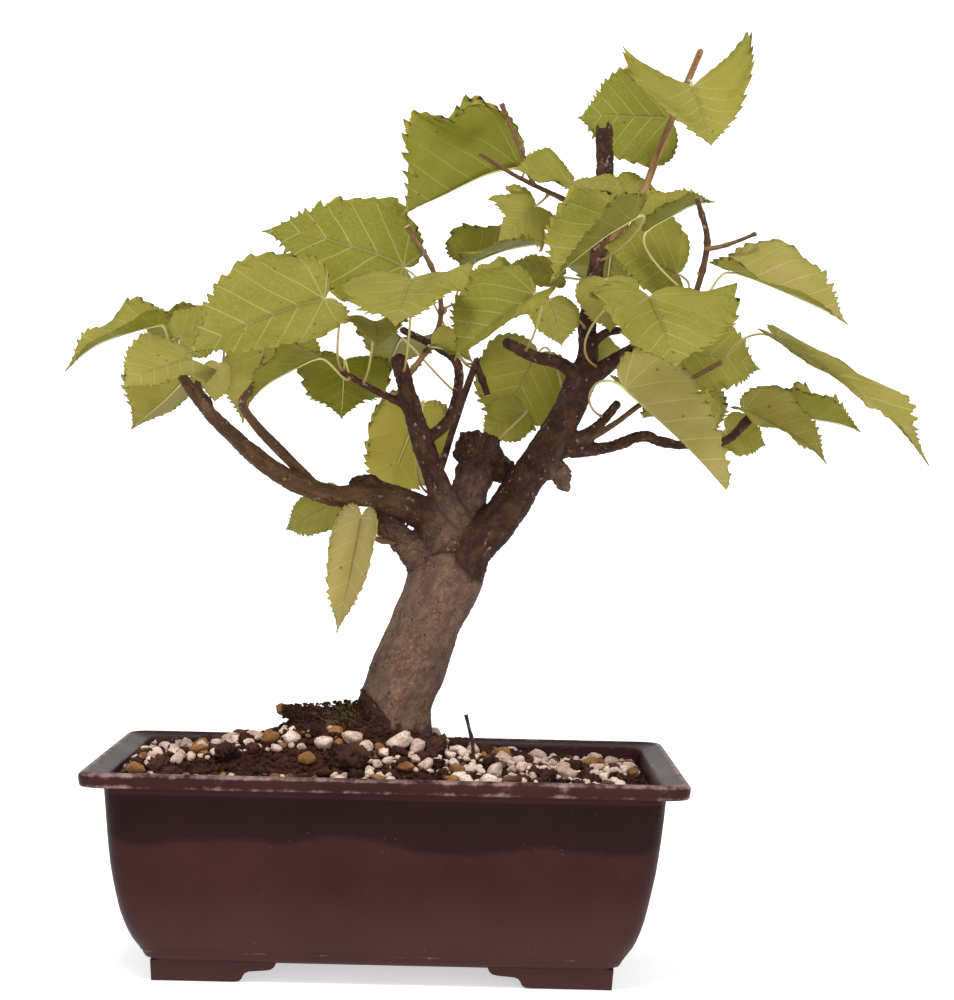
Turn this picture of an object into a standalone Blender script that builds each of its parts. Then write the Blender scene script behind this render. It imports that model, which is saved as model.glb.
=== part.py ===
"""Broad-leaved bonsai, a young lime tree, growing in a rectangular plastic training pot.

Units are metres and +Z is up. The pot stands on Z = 0 with its long side along X, and its front
faces -Y. Everything is modelled about the middle of the pot, and hangs from one empty that puts
the middle of the whole plant on the origin, because the crown leans out past the pot's right end.
"""
import math

import bmesh
import bpy
from mathutils import Vector
from mathutils.bvhtree import BVHTree

# ---- Driving dimensions ----------------------------------------------------------------------
POT_CENTRE = (-0.0545, 0.0127, 0.0)   # where the middle of the pot stands, from the object's origin
CLEARANCE = 0.0004                  # left between pieces that touch

# Pot: outside of the rim, height, wall and corner radius
POT_LENGTH = 0.300
POT_DEPTH = 0.210
POT_HEIGHT = 0.107
POT_WALL = 0.0025
CORNER_RADIUS = 0.010
CORNER_STEPS = 3
FLOOR_UNDER = 0.0100
FLOOR_TOP = 0.0125

# Feet: each corner foot is an L of two scalloped skirts under the floor
FOOT_INSET = 0.0355                 # from the rim's outside to the foot's outside
FOOT_THICK = 0.005
FOOT_LENGTH_X = 0.044
FOOT_LENGTH_Y = 0.034
SCALLOP = 0.0085                    # width of each of the two rounded steps at a foot's end

# Drainage: two round holes in the floor, each under a square plastic screen
DRAIN_X = 0.060
DRAIN_RADIUS = 0.010
SCREEN_SIDE = 0.036
SCREEN_THICK = 0.0010
SCREEN_CELLS = 4
SCREEN_BAR = 0.0016

# Soil: height in the middle of the pot, how much lower it lies per metre towards +X, and the
# mound that carries the trunk
SOIL_LEVEL = 0.0988
SOIL_FALL = 0.0174
SOIL_MOUND = 0.0250
SOIL_MOUND_X = -0.020
SOIL_MOUND_SPREAD = (0.075, 0.060)

# Leaves
LEAF_THICK = 0.0006
STALK_RADIUS = 0.0007
STALK_SIDES = 4
STALK_SIDESTEP = 0.004              # how far towards its blade a stalk looks for bark to start on


# ---- Small tools shared by the pieces ----------------------------------------------------------
def clear_scene():
    for old in list(bpy.data.objects):
        bpy.data.objects.remove(old, do_unlink=True)


def material(name, colour, roughness, metallic=0.0):
    mat = bpy.data.materials.new(name)
    mat.use_nodes = True
    shader = mat.node_tree.nodes["Principled BSDF"]
    shader.inputs["Base Color"].default_value = (*colour, 1.0)
    shader.inputs["Roughness"].default_value = roughness
    shader.inputs["Metallic"].default_value = metallic
    return mat


def add_object(name, bm, mat, smooth_angle=None):
    """Turns a bmesh into a named object with outward faces and its own material."""
    bmesh.ops.recalc_face_normals(bm, faces=bm.faces)
    mesh = bpy.data.meshes.new(name)
    bm.to_mesh(mesh)
    bm.free()
    mesh.materials.append(mat)
    if smooth_angle is not None:
        mesh.shade_smooth()
        mesh.set_sharp_from_angle(angle=math.radians(smooth_angle))
    obj = bpy.data.objects.new(name, mesh)
    bpy.context.scene.collection.objects.link(obj)
    return obj


def make_cutter(obj):
    obj.hide_render = True
    obj.display_type = "WIRE"
    return obj


def combine(target, tool, operation):
    """Adds an exact Boolean of a hidden tool object to the target."""
    step = target.modifiers.new(operation.title() + "_" + tool.name, "BOOLEAN")
    step.operation = operation
    step.solver = "EXACT"
    step.object = make_cutter(tool)


def bridge(bm, lower, upper):
    """Faces between two closed rings of equally many vertices."""
    count = len(lower)
    for i in range(count):
        j = (i + 1) % count
        bm.faces.new((lower[i], lower[j], upper[j], upper[i]))


def smooth_path(points, steps):
    """Points along a Catmull-Rom curve through the given points, with any number of values each."""
    first = [2 * a - b for a, b in zip(points[0], points[1])]
    last = [2 * a - b for a, b in zip(points[-1], points[-2])]
    knots = [first, *points, last]
    path = []
    for i in range(1, len(knots) - 2):
        for k in range(steps):
            t = k / steps
            path.append([
                0.5 * (2 * b + (c - a) * t + (2 * a - 5 * b + 4 * c - d) * t ** 2
                       + (3 * b - a - 3 * c + d) * t ** 3)
                for a, b, c, d in zip(*knots[i - 1:i + 3])
            ])
    path.append(list(points[-1]))
    return path


def tube(bm, path, sides):
    """A closed tube along (x, y, z, radius) points, turned as little as possible on its way."""
    centres = [Vector(p[:3]) for p in path]
    side = None
    rings = []
    for i, centre in enumerate(centres):
        ahead = centres[min(i + 1, len(centres) - 1)] - centres[max(i - 1, 0)]
        ahead.normalize()
        if side is None:
            side = ahead.orthogonal().normalized()
        side = (side - ahead * side.dot(ahead)).normalized()
        other = ahead.cross(side)
        ring = []
        for k in range(sides):
            turn = 2 * math.pi * k / sides
            ring.append(bm.verts.new(
                centre + path[i][3] * (side * math.cos(turn) + other * math.sin(turn))))
        rings.append(ring)
    for lower, upper in zip(rings, rings[1:]):
        bridge(bm, lower, upper)
    bm.faces.new(rings[0])
    bm.faces.new(rings[-1])


# ---- Pot ---------------------------------------------------------------------------------------
def rounded_rectangle(bm, inset, height, radius):
    """A ring of vertices: the rim's outline moved inwards by inset, at one height."""
    half_x = POT_LENGTH / 2 - inset
    half_y = POT_DEPTH / 2 - inset
    ring = []
    for quarter, (sx, sy) in enumerate(((1, 1), (-1, 1), (-1, -1), (1, -1))):
        for step in range(CORNER_STEPS + 1):
            turn = math.pi / 2 * (quarter + step / CORNER_STEPS)
            ring.append(bm.verts.new((
                sx * (half_x - radius) + radius * math.cos(turn),
                sy * (half_y - radius) + radius * math.sin(turn),
                height)))
    return ring


# The moulded section as (inset from the rim's outside, height), from the middle of the
# underside up the outside, over the rolled rim and down the inside to the floor.
OUTSIDE = [
    (0.0345, FLOOR_UNDER), (0.0310, 0.0118), (0.0295, 0.0150), (0.0286, 0.0158), (0.0235, 0.0245),
    (0.0195, 0.0360), (0.0150, 0.0590), (0.0108, 0.0985), (0.0020, 0.0993), (0.0006, 0.1003),
    (0.0000, 0.1045), (0.0012, 0.1062), (0.0024, POT_HEIGHT),
]
INSIDE = [
    (0.0040, 0.1060), (0.0118, 0.1040), (0.0133, 0.1010), (0.0175, 0.0590), (0.0220, 0.0365),
    (0.0260, 0.0255), (0.0320, 0.0160), (0.0345, FLOOR_TOP),
]


def build_foot(mat, sx, sy):
    """One corner foot: two skirts that meet at the corner, each ending in two rounded steps."""
    def skirt(length):
        """Outline of a skirt's face: distance from the corner and height."""
        outline = [(0.0, 0.0), (length, 0.0)]
        top = FLOOR_UNDER + 0.0006
        rise = top / 2
        for level in range(2):
            for k in range(1, 4):
                turn = math.pi / 2 * k / 3
                outline.append((
                    length + SCALLOP * (level + 1 - math.cos(turn)),
                    rise * (level + math.sin(turn))))
        outline.append((0.0, top))
        return outline

    corner_x = POT_LENGTH / 2 - FOOT_INSET
    corner_y = POT_DEPTH / 2 - FOOT_INSET
    legs = []
    for along_x, length in ((True, FOOT_LENGTH_X), (False, FOOT_LENGTH_Y)):
        bm = bmesh.new()
        faces = []
        for depth in (0.0, FOOT_THICK):
            ring = []
            for run, height in skirt(length):
                x, y = (run, depth) if along_x else (depth, run)
                ring.append(bm.verts.new((sx * (corner_x - x), sy * (corner_y - y), height)))
            faces.append(ring)
            bm.faces.new(ring)
        bridge(bm, *faces)
        legs.append(add_object("foot_tool", bm, mat))
    return legs


def build_pot():
    mat = material("pot_plastic", (0.060, 0.030, 0.030), 0.45)
    bm = bmesh.new()
    rings = [rounded_rectangle(bm, inset, height, CORNER_RADIUS) for inset, height in OUTSIDE]
    rings += [rounded_rectangle(bm, inset, height, CORNER_RADIUS - POT_WALL)
              for inset, height in INSIDE]
    for lower, upper in zip(rings, rings[1:]):
        bridge(bm, lower, upper)
    bm.faces.new(rings[0])
    bm.faces.new(rings[-1])
    pot = add_object("pot", bm, mat, smooth_angle=35)
    for sx in (-1, 1):
        for sy in (-1, 1):
            for leg in build_foot(mat, sx, sy):
                combine(pot, leg, "UNION")
    for sx in (-1, 1):
        bm = bmesh.new()
        bmesh.ops.create_cone(bm, cap_ends=True, segments=16, radius1=DRAIN_RADIUS,
                              radius2=DRAIN_RADIUS, depth=0.012)
        bmesh.ops.translate(bm, verts=bm.verts, vec=(sx * DRAIN_X, 0.0, FLOOR_UNDER))
        combine(pot, add_object("drain_cutter", bm, mat), "DIFFERENCE")
    return pot


def build_screen(name, centre_x):
    """A square plastic screen lying over one drainage hole: a plate with a grid of holes."""
    mat = material(name, (0.012, 0.012, 0.012), 0.6)
    bm = bmesh.new()
    cell = (SCREEN_SIDE - SCREEN_BAR) / SCREEN_CELLS
    stops = []
    for i in range(SCREEN_CELLS + 1):
        stops += [i * cell - SCREEN_SIDE / 2, i * cell + SCREEN_BAR - SCREEN_SIDE / 2]
    low = FLOOR_TOP + CLEARANCE
    grid = [[bm.verts.new((centre_x + x, y, low)) for y in stops] for x in stops]
    for i in range(len(stops) - 1):
        for j in range(len(stops) - 1):
            if i % 2 == 0 or j % 2 == 0:
                bm.faces.new((grid[i][j], grid[i + 1][j], grid[i + 1][j + 1], grid[i][j + 1]))
    plate = bmesh.ops.extrude_face_region(bm, geom=list(bm.faces))
    raised = [v for v in plate["geom"] if isinstance(v, bmesh.types.BMVert)]
    bmesh.ops.translate(bm, verts=raised, vec=(0.0, 0.0, SCREEN_THICK))
    return add_object(name, bm, mat)


# ---- Wood --------------------------------------------------------------------------------------
# Every limb is a list of (x, y, z, radius) down its middle line, and starts inside its parent.
TRUNK = [
    (0.004, 0.000, 0.092, 0.0165), (0.002, 0.000, 0.112, 0.0205), (0.001, 0.000, 0.125, 0.0200),
    (0.003, 0.000, 0.138, 0.0190), (0.011, 0.000, 0.160, 0.0182), (0.022, 0.000, 0.190, 0.0188),
    (0.030, -0.001, 0.212, 0.0200), (0.034, 0.000, 0.228, 0.0160),
]
ROOT = [
    (0.000, -0.002, 0.118, 0.0090), (-0.016, -0.006, 0.126, 0.0075),
    (-0.036, -0.007, 0.128, 0.0050), (-0.050, -0.006, 0.129, 0.0038),
    (-0.059, -0.005, 0.131, 0.0030),
]
# name: (sides, points)
LIMBS = {
    "branch_left": (8, [
        (0.030, -0.002, 0.222, 0.0120), (0.012, -0.009, 0.236, 0.0088),
        (-0.010, -0.017, 0.244, 0.0072), (-0.029, -0.025, 0.243, 0.0058),
        (-0.047, -0.032, 0.248, 0.0054), (-0.065, -0.038, 0.258, 0.0050),
        (-0.083, -0.042, 0.273, 0.0042), (-0.099, -0.045, 0.289, 0.0034),
        (-0.113, -0.048, 0.309, 0.0024),
    ]),
    "knot_left": (6, [(-0.006, -0.016, 0.243, 0.0066), (-0.014, -0.017, 0.248, 0.0068),
                      (-0.022, -0.018, 0.250, 0.0044)]),
    "fork_left": (6, [
        (-0.043, -0.031, 0.250, 0.0030), (-0.061, -0.026, 0.267, 0.0030),
        (-0.073, -0.022, 0.279, 0.0026), (-0.080, -0.020, 0.290, 0.0024),
        (-0.074, -0.018, 0.300, 0.0022), (-0.068, -0.014, 0.316, 0.0020),
    ]),
    "spur_left": (5, [(-0.094, -0.044, 0.288, 0.0022), (-0.100, -0.043, 0.296, 0.0017),
                      (-0.102, -0.040, 0.307, 0.0017)]),
    "knob_under": (6, [(0.014, -0.004, 0.212, 0.0080), (0.003, -0.005, 0.221, 0.0072),
                       (-0.007, -0.007, 0.232, 0.0060), (-0.011, -0.009, 0.241, 0.0040)]),
    "twig_under": (5, [(0.002, -0.007, 0.219, 0.0016), (-0.009, -0.011, 0.221, 0.0013),
                       (-0.016, -0.013, 0.227, 0.0012)]),
    "branch_middle": (8, [
        (0.032, -0.004, 0.228, 0.0090), (0.024, -0.009, 0.245, 0.0068),
        (0.017, -0.014, 0.262, 0.0060), (0.010, -0.018, 0.281, 0.0054),
        (0.004, -0.022, 0.300, 0.0046), (0.000, -0.026, 0.315, 0.0042),
    ]),
    "twig_middle_left": (5, [(0.004, -0.021, 0.291, 0.0026), (-0.012, -0.024, 0.298, 0.0020),
                             (-0.029, -0.030, 0.307, 0.0018)]),
    "twig_middle_right": (6, [
        (0.014, -0.016, 0.272, 0.0034), (0.027, -0.013, 0.284, 0.0032),
        (0.031, -0.009, 0.300, 0.0028), (0.030, -0.009, 0.314, 0.0026),
        (0.018, -0.012, 0.322, 0.0022), (0.001, -0.018, 0.330, 0.0020),
    ]),
    "twig_behind": (6, [
        (0.022, 0.004, 0.230, 0.0030), (0.019, 0.012, 0.244, 0.0026),
        (0.025, 0.020, 0.266, 0.0022), (0.033, 0.030, 0.294, 0.0021),
        (0.041, 0.038, 0.318, 0.0020),
    ]),
    "stub_behind": (5, [(0.040, 0.038, 0.316, 0.0020), (0.047, 0.035, 0.298, 0.0018)]),
    "stump": (8, [(0.033, 0.003, 0.222, 0.0140), (0.037, 0.006, 0.240, 0.0105),
                  (0.041, 0.009, 0.258, 0.0100), (0.042, 0.010, 0.267, 0.0128),
                  (0.041, 0.010, 0.274, 0.0110)]),
    "burr_stump": (6, [(0.044, 0.011, 0.262, 0.0070), (0.056, 0.013, 0.258, 0.0068),
                       (0.062, 0.014, 0.254, 0.0040)]),
    "branch_right": (8, [
        (0.030, -0.003, 0.208, 0.0150), (0.042, -0.004, 0.220, 0.0125),
        (0.056, -0.002, 0.235, 0.0105), (0.073, 0.002, 0.262, 0.0090),
        (0.087, 0.005, 0.286, 0.0082), (0.095, 0.006, 0.305, 0.0080),
        (0.099, 0.006, 0.320, 0.0058), (0.098, 0.007, 0.335, 0.0050),
        (0.101, 0.009, 0.356, 0.0045), (0.104, 0.011, 0.382, 0.0044),
        (0.106, 0.012, 0.412, 0.0048), (0.105, 0.012, 0.438, 0.0046),
    ]),
    "burr_right": (6, [(0.078, 0.004, 0.262, 0.0070), (0.085, 0.006, 0.257, 0.0062),
                       (0.089, 0.007, 0.250, 0.0034)]),
    "arm_front": (6, [(0.098, 0.004, 0.306, 0.0056), (0.110, -0.005, 0.315, 0.0042),
                      (0.122, -0.016, 0.323, 0.0036), (0.137, -0.026, 0.334, 0.0026),
                      (0.150, -0.028, 0.345, 0.0022)]),
    "arm_thin": (5, [(0.097, 0.005, 0.322, 0.0032), (0.107, 0.001, 0.331, 0.0024),
                     (0.115, -0.004, 0.333, 0.0022)]),
    "arm_left": (6, [(0.095, 0.004, 0.308, 0.0044), (0.084, -0.002, 0.315, 0.0036),
                     (0.070, -0.009, 0.318, 0.0034), (0.055, -0.014, 0.325, 0.0030)]),
    "lateral": (6, [
        (0.082, 0.004, 0.270, 0.0050), (0.098, 0.009, 0.270, 0.0040),
        (0.113, 0.014, 0.272, 0.0033), (0.129, 0.017, 0.278, 0.0034),
        (0.141, 0.020, 0.275, 0.0029), (0.158, 0.023, 0.274, 0.0027),
        (0.175, 0.026, 0.277, 0.0025), (0.190, 0.030, 0.292, 0.0028),
    ]),
    "stub_upper": (6, [(0.089, 0.004, 0.274, 0.0040), (0.103, 0.001, 0.281, 0.0030),
                       (0.115, -0.004, 0.295, 0.0026)]),
    "twig_lateral": (5, [
        (0.096, 0.007, 0.273, 0.0022), (0.114, 0.012, 0.284, 0.0017),
        (0.131, 0.017, 0.297, 0.0017), (0.149, 0.024, 0.306, 0.0015),
        (0.172, 0.030, 0.319, 0.0015),
    ]),
    "shoot_top": (6, [
        (0.104, 0.011, 0.374, 0.0034), (0.115, 0.014, 0.388, 0.0027),
        (0.125, 0.018, 0.402, 0.0023), (0.133, 0.023, 0.424, 0.0022),
        (0.145, 0.029, 0.456, 0.0020), (0.157, 0.034, 0.486, 0.0020),
    ]),
    "twig_top_left": (5, [(0.105, 0.011, 0.391, 0.0024), (0.086, 0.001, 0.400, 0.0018),
                          (0.061, -0.012, 0.410, 0.0014), (0.039, -0.022, 0.421, 0.0013)]),
    "twig_top_up": (5, [(0.068, -0.009, 0.407, 0.0013), (0.060, -0.016, 0.425, 0.0012),
                        (0.050, -0.022, 0.447, 0.0012)]),
    "twig_cut": (5, [(0.004, -0.020, 0.304, 0.0016), (0.020, -0.002, 0.332, 0.0014),
                     (0.018, -0.008, 0.358, 0.0013), (0.003, -0.018, 0.383, 0.0013)]),
    "twig_bud": (5, [(0.146, -0.027, 0.341, 0.0020), (0.152, -0.026, 0.352, 0.0016),
                     (0.157, -0.030, 0.378, 0.0016), (0.151, -0.034, 0.400, 0.0013)]),
    "twig_bud_side": (5, [(0.156, -0.030, 0.374, 0.0015), (0.166, -0.033, 0.376, 0.0011),
                          (0.181, -0.040, 0.382, 0.0009)]),
}


def build_wood():
    """Trunk, roots and every branch as one body, because they grew as one."""
    mat = material("bark", (0.110, 0.070, 0.052), 0.8)

    def limb(name, points, sides, steps=1):
        bm = bmesh.new()
        tube(bm, smooth_path(points, steps), sides)
        return add_object(name, bm, mat, smooth_angle=60)

    wood = limb("tree", TRUNK, 10)
    combine(wood, limb("limb_root", ROOT, 8), "UNION")
    for name, (sides, points) in LIMBS.items():
        combine(wood, limb("limb_" + name, points, sides), "UNION")
    return wood


# ---- Soil --------------------------------------------------------------------------------------
def soil_height(x, y):
    spread_x, spread_y = SOIL_MOUND_SPREAD
    bump = math.exp(-((x - SOIL_MOUND_X) / spread_x) ** 2 - (y / spread_y) ** 2)
    return SOIL_LEVEL - SOIL_FALL * x + SOIL_MOUND * bump


def build_soil():
    """The pot's filling: it follows the pot's inside and rises in a mound round the trunk."""
    mat = material("soil", (0.045, 0.026, 0.018), 0.95)
    bm = bmesh.new()
    radius = CORNER_RADIUS - POT_WALL
    rings = []
    for inset, height in reversed(INSIDE[3:]):
        floor_gap = CLEARANCE if height == FLOOR_TOP else 0.0
        rings.append(rounded_rectangle(bm, inset + CLEARANCE, height + floor_gap, radius))
    top = rounded_rectangle(bm, 0.0142, SOIL_LEVEL, radius)
    for vert in top:
        vert.co.z = soil_height(vert.co.x, vert.co.y)
    rings.append(top)
    edge = [v.co.copy() for v in top]
    for share in (0.88, 0.74, 0.60, 0.46, 0.32, 0.18, 0.07):
        ring = []
        for corner in edge:
            x, y = corner.x * share, corner.y * share
            ring.append(bm.verts.new((x, y, soil_height(x, y))))
        rings.append(ring)
    for lower, upper in zip(rings, rings[1:]):
        bridge(bm, lower, upper)
    bm.faces.new(rings[0])
    bm.faces.new(rings[-1])
    soil = add_object("soil", bm, mat, smooth_angle=40)

    sockets = {"trunk": (TRUNK, 10), "root": (ROOT, 8), "twig": (DEAD_TWIG, 5)}
    for name, (points, sides) in sockets.items():
        bm = bmesh.new()
        path = [(x, y, z, r + CLEARANCE) for x, y, z, r in points]
        path[0] = (*path[0][:2], path[0][2] - CLEARANCE, path[0][3])
        tube(bm, path, sides)
        combine(soil, add_object("socket_" + name, bm, mat), "DIFFERENCE")
    for sx in (-1, 1):
        bm = bmesh.new()
        bmesh.ops.create_cube(bm, size=1.0)
        side = SCREEN_SIDE + 2 * CLEARANCE
        bmesh.ops.scale(bm, verts=bm.verts, vec=(side, side, 2 * (SCREEN_THICK + 2 * CLEARANCE)))
        bmesh.ops.translate(bm, verts=bm.verts, vec=(sx * DRAIN_X, 0.0, FLOOR_TOP))
        combine(soil, add_object("socket_screen", bm, mat), "DIFFERENCE")
    return soil


# A bare dead twig, pushed into the soil in front of the trunk on its right.
DEAD_TWIG = [(0.044, -0.026, 0.100, 0.0010), (0.043, -0.026, 0.116, 0.0010),
             (0.041, -0.026, 0.124, 0.0009), (0.039, -0.026, 0.132, 0.0010)]


def build_dead_twig():
    bm = bmesh.new()
    tube(bm, DEAD_TWIG, 5)
    return add_object("dead_twig", bm, material("dead_twig", (0.060, 0.030, 0.020), 0.9), 60)


# ---- Leaves ------------------------------------------------------------------------------------
# Right half of a lime leaf's heart-shaped outline, as (along the midrib in leaf lengths, across
# it in half widths): the tip, the margin back to the lobe behind the stalk, and the notch.
TIP = (1.0, 0.0)
MARGIN = [(0.90, 0.24), (0.72, 0.69), (0.30, 1.0), (-0.08, 0.84), (-0.17, 0.34)]
MIDRIB = [(0.72, 0.0), (0.30, 0.0), (0.0, 0.0)]

# Each leaf, in millimetres and degrees: where its stalk leaves the wood, where the stalk meets
# the blade, and the blade's tip; the blade's width; which way its upper side faces, as an
# angle round from the front and an angle up; and how far its two halves are folded up.
# After that come the arch of the midrib, and how far the sides are swept back from the tip.
MM = 0.001
LEAVES = [
    # left branch
    ((-114, -49, 309), (-121, -49, 328), (-167, -62, 306), 42, (-10, 68), (15, 32), 0.05, 0.15),
    ((-103, -42, 309), (-111, -30, 322), (-85, -20, 336), 34, (0, 35), (0, 0)),
    ((-112, -48, 307), (-102, -68, 309), (-132, -98, 296), 44, (0, 42), (10, 15), 0.06),
    ((-113, -47, 308), (-108, -30, 301), (-137, -18, 275), 62, (160, 10), (85, 0)),
    ((-29, -30, 306), (-36, -78, 341), (-102, -96, 313), 66, (0, 15), (0, 40), 0.05),
    ((-76, -19, 296), (-69, 16, 318), (-83, 14, 280), 44, (-10, 10), (0, 70)),
    ((-98, -42, 300), (-90, -52, 308), (-92, -48, 289), 16, (0, 10), (0, 0)),
    ((-94, -44, 290), (-104, 28, 332), (-138, 70, 318), 44, (180, 60), (10, 10)),
    # middle branches
    ((-22, -27, 302), (-41, -42, 313), (-76, -40, 291), 48, (0, 65), (20, 50)),
    ((41, 38, 310), (0, 34, 366), (-76, 30, 385), 66, (0, 45), (20, -10), 0.05),
    ((2, -22, 305), (6, -60, 353), (0, -100, 327), 68, (0, 45), (0, 18), 0.05, 0.05),
    ((-17, -26, 300), (-12, -40, 333), (-9, -68, 320), 34, (0, 60), (12, 12)),
    ((-24, -28, 303), (-28, -16, 313), (-30, 8, 284), 50, (180, 40), (5, 5)),
    ((18, -12, 322), (18, -32, 321), (39, -30, 314), 28, (0, 45), (40, 10)),
    ((37, 40, 312), (38, 42, 370), (84, 50, 384), 52, (0, 60), (40, 15), 0.04, 0.15),
    ((33, 30, 296), (0, 36, 328), (-8, 86, 314), 48, (180, 50), (10, 10)),
    ((14, 8, 243), (11, 50, 292), (-10, 60, 236), 46, (180, 10), (0, 0)),
    # under the left branch
    ((-9, -12, 222), (-17, -30, 232), (-27, -46, 174), 32, (10, 10), (25, 60)),
    ((-11, -8, 228), (-31, 10, 240), (-60, 20, 224), 26, (0, 20), (0, 0)),
    # top, left of the leader
    ((61, -12, 409), (61, 6, 418), (-2, -6, 391), 90, (180, 60), (50, 50), 0.03, -0.1),
    ((86, 0, 400), (86, -22, 406), (57, -32, 413), 42, (0, 52), (10, 20)),
    ((78, -3, 402), (69, -8, 396), (50, -14, 377), 40, (0, 10), (0, 0)),
    # top shoot
    ((150, 32, 469), (151, 8, 463), (160, -10, 430), 72, (0, 45), (10, 10), 0.04, 0.7),
    ((142, 32, 459), (141, 46, 450), (92, 42, 450), 60, (0, 20), (0, 0)),
    ((106, 8, 400), (112, 0, 409), (84, -6, 407), 18, (0, 50), (0, 0)),
    ((106, 16, 397), (116, 34, 412), (136, 38, 411), 20, (0, 40), (0, 0)),
    # middle of the crown, in front of the leader
    ((104, 10, 369), (117, -60, 386), (75, -84, 352), 60, (-10, 25), (0, 80)),
    ((103, 0, 312), (124, -92, 344), (136, -122, 310), 82, (-5, 45), (35, 0)),
    ((66, -12, 319), (69, -50, 348), (29, -74, 314), 58, (-10, 20), (0, 55)),
    ((98, -4, 334), (78, -6, 347), (85, -14, 324), 28, (20, 0), (0, 0)),
    ((52, 20, 349), (62, -6, 360), (34, -16, 353), 28, (0, 50), (0, 0)),
    ((104, 12, 360), (84, 16, 362), (54, 10, 366), 20, (0, 30), (0, 0)),
    ((103, 8, 350), (107, -12, 358), (109, -24, 331), 34, (0, 30), (0, 0)),
    ((101, 0, 289), (114, -66, 301), (165, -84, 253), 58, (0, 15), (-110, 0)),
    # behind the leader
    ((107, 4, 330), (103, 28, 322), (118, 36, 326), 24, (0, 20), (0, 0)),
    ((94, 20, 270), (74, 60, 322), (52, 66, 276), 56, (0, 10), (0, 0)),
    ((60, 25, 270), (66, 46, 290), (44, 42, 276), 26, (0, 20), (0, 0)),
    ((104, 14, 380), (112, 48, 378), (112, 96, 350), 50, (180, 50), (12, 12)),
    # right of the leader
    ((150, -24, 348), (128, -16, 385), (162, -12, 402), 42, (0, 60), (55, 20), 0.04, 0.1),
    ((151, -22, 350), (146, 20, 365), (106, 5, 378), 56, (0, 15), (0, 30)),
    ((150, -24, 345), (168, -40, 362), (226, -66, 336), 54, (0, 55), (40, 20), 0.04, 0.02),
    ((143, 22, 303), (148, 42, 325), (197, 52, 318), 44, (0, 25), (0, 0)),
    ((172, 30, 319), (197, -5, 331), (276, -35, 269), 42, (20, 76), (15, 10), 0.04, -0.15),
    ((147, 24, 304), (150, 56, 296), (172, 100, 278), 48, (180, 50), (10, 10)),
    # lateral
    ((190, 30, 290), (208, 38, 291), (248, 32, 283), 44, (0, 70), (60, 30), 0.04, 0.1),
    ((188, 30, 292), (182, 8, 293), (226, -5, 268), 40, (0, 55), (30, 20)),
    ((176, 26, 276), (176, 34, 283), (198, 40, 275), 24, (0, 20), (0, 0)),
    ((131, 18, 296), (157, 14, 288), (163, 10, 304), 24, (0, 10), (0, 0)),
]


def facing(turn, lift):
    turn, lift = math.radians(turn), math.radians(lift)
    return Vector((math.sin(turn) * math.cos(lift), -math.cos(turn) * math.cos(lift),
                   math.sin(lift)))


def build_leaf(name, bark, mat, foot, base, tip, width, face, fold, arch=0.04, sweep=0.0):
    """A blade and its stalk as one body, clear of the bark it grows from."""
    foot, base, tip = (Vector(p) * MM for p in (foot, base, tip))
    along = tip - base
    length = along.length
    along.normalize()
    up = facing(*face)
    up = (up - along * up.dot(along)).normalized()
    across = up.cross(along)
    half = width * MM / 2

    def on_blade(x, y):
        """A point of the blade from leaf lengths along the midrib and half widths across it."""
        x -= sweep * y * y
        turn = math.radians(fold[1] if y > 0 else fold[0])
        lift = abs(y) * half * math.sin(turn) + arch * length * 4 * x * (1 - x)
        return base + along * (x * length) + across * (y * half * math.cos(turn)) + up * lift

    bm = bmesh.new()
    tip_vert = bm.verts.new(on_blade(*TIP))
    rib = [bm.verts.new(on_blade(*point)) for point in MIDRIB]
    for side in (1, -1):
        edge = [bm.verts.new(on_blade(x, side * y)) for x, y in MARGIN]
        bm.faces.new((tip_vert, edge[0], edge[1], rib[0]))
        bm.faces.new((rib[0], edge[1], edge[2], rib[1]))
        bm.faces.new((rib[1], edge[2], edge[3], rib[2]))
        bm.faces.new((rib[2], edge[3], edge[4]))
    leaf = add_object(name, bm, mat, smooth_angle=60)
    body = leaf.modifiers.new("Thickness", "SOLIDIFY")
    body.thickness = LEAF_THICK
    body.offset = 0.0

    towards = (base - foot).normalized()
    root, outward, _, _ = bark.find_nearest(foot + towards * STALK_SIDESTEP)
    start = root + outward * CLEARANCE
    path = [(*start, STALK_RADIUS)]
    reach = (base - start).length
    bend_out = start + outward * 0.3 * reach
    bend_in = base - along * 0.3 * reach - up * 0.05 * reach
    start += outward * 2 * STALK_RADIUS
    for t in (0.0, 0.33, 0.67, 1.0):
        point = (start * (1 - t) ** 3 + bend_out * 3 * t * (1 - t) ** 2
                 + bend_in * 3 * t ** 2 * (1 - t) + base * t ** 3)
        path.append((*point, STALK_RADIUS))
    path.append((*on_blade(0.06, 0.0), STALK_RADIUS * 0.8))
    bm = bmesh.new()
    tube(bm, path, STALK_SIDES)
    combine(leaf, add_object("stalk_" + name, bm, mat), "UNION")
    return leaf


def build_leaves(wood):
    mat = material("leaf", (0.200, 0.300, 0.060), 0.5)
    graph = bpy.context.evaluated_depsgraph_get()
    bark = BVHTree.FromObject(wood, graph)
    return [build_leaf("leaf_%02d" % number, bark, mat, *row)
            for number, row in enumerate(LEAVES, start=1)]


# ---- Assembly ----------------------------------------------------------------------------------
clear_scene()
stand = bpy.data.objects.new("pot_centre", None)
bpy.context.scene.collection.objects.link(stand)
build_pot()
build_screen("drain_screen_left", -DRAIN_X)
build_screen("drain_screen_right", DRAIN_X)
tree = build_wood()
build_soil()
build_dead_twig()
build_leaves(tree)
stand.location = POT_CENTRE
for piece in bpy.context.scene.objects:
    if piece.type == "MESH":
        piece.parent = stand
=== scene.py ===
import math
import random

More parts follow.
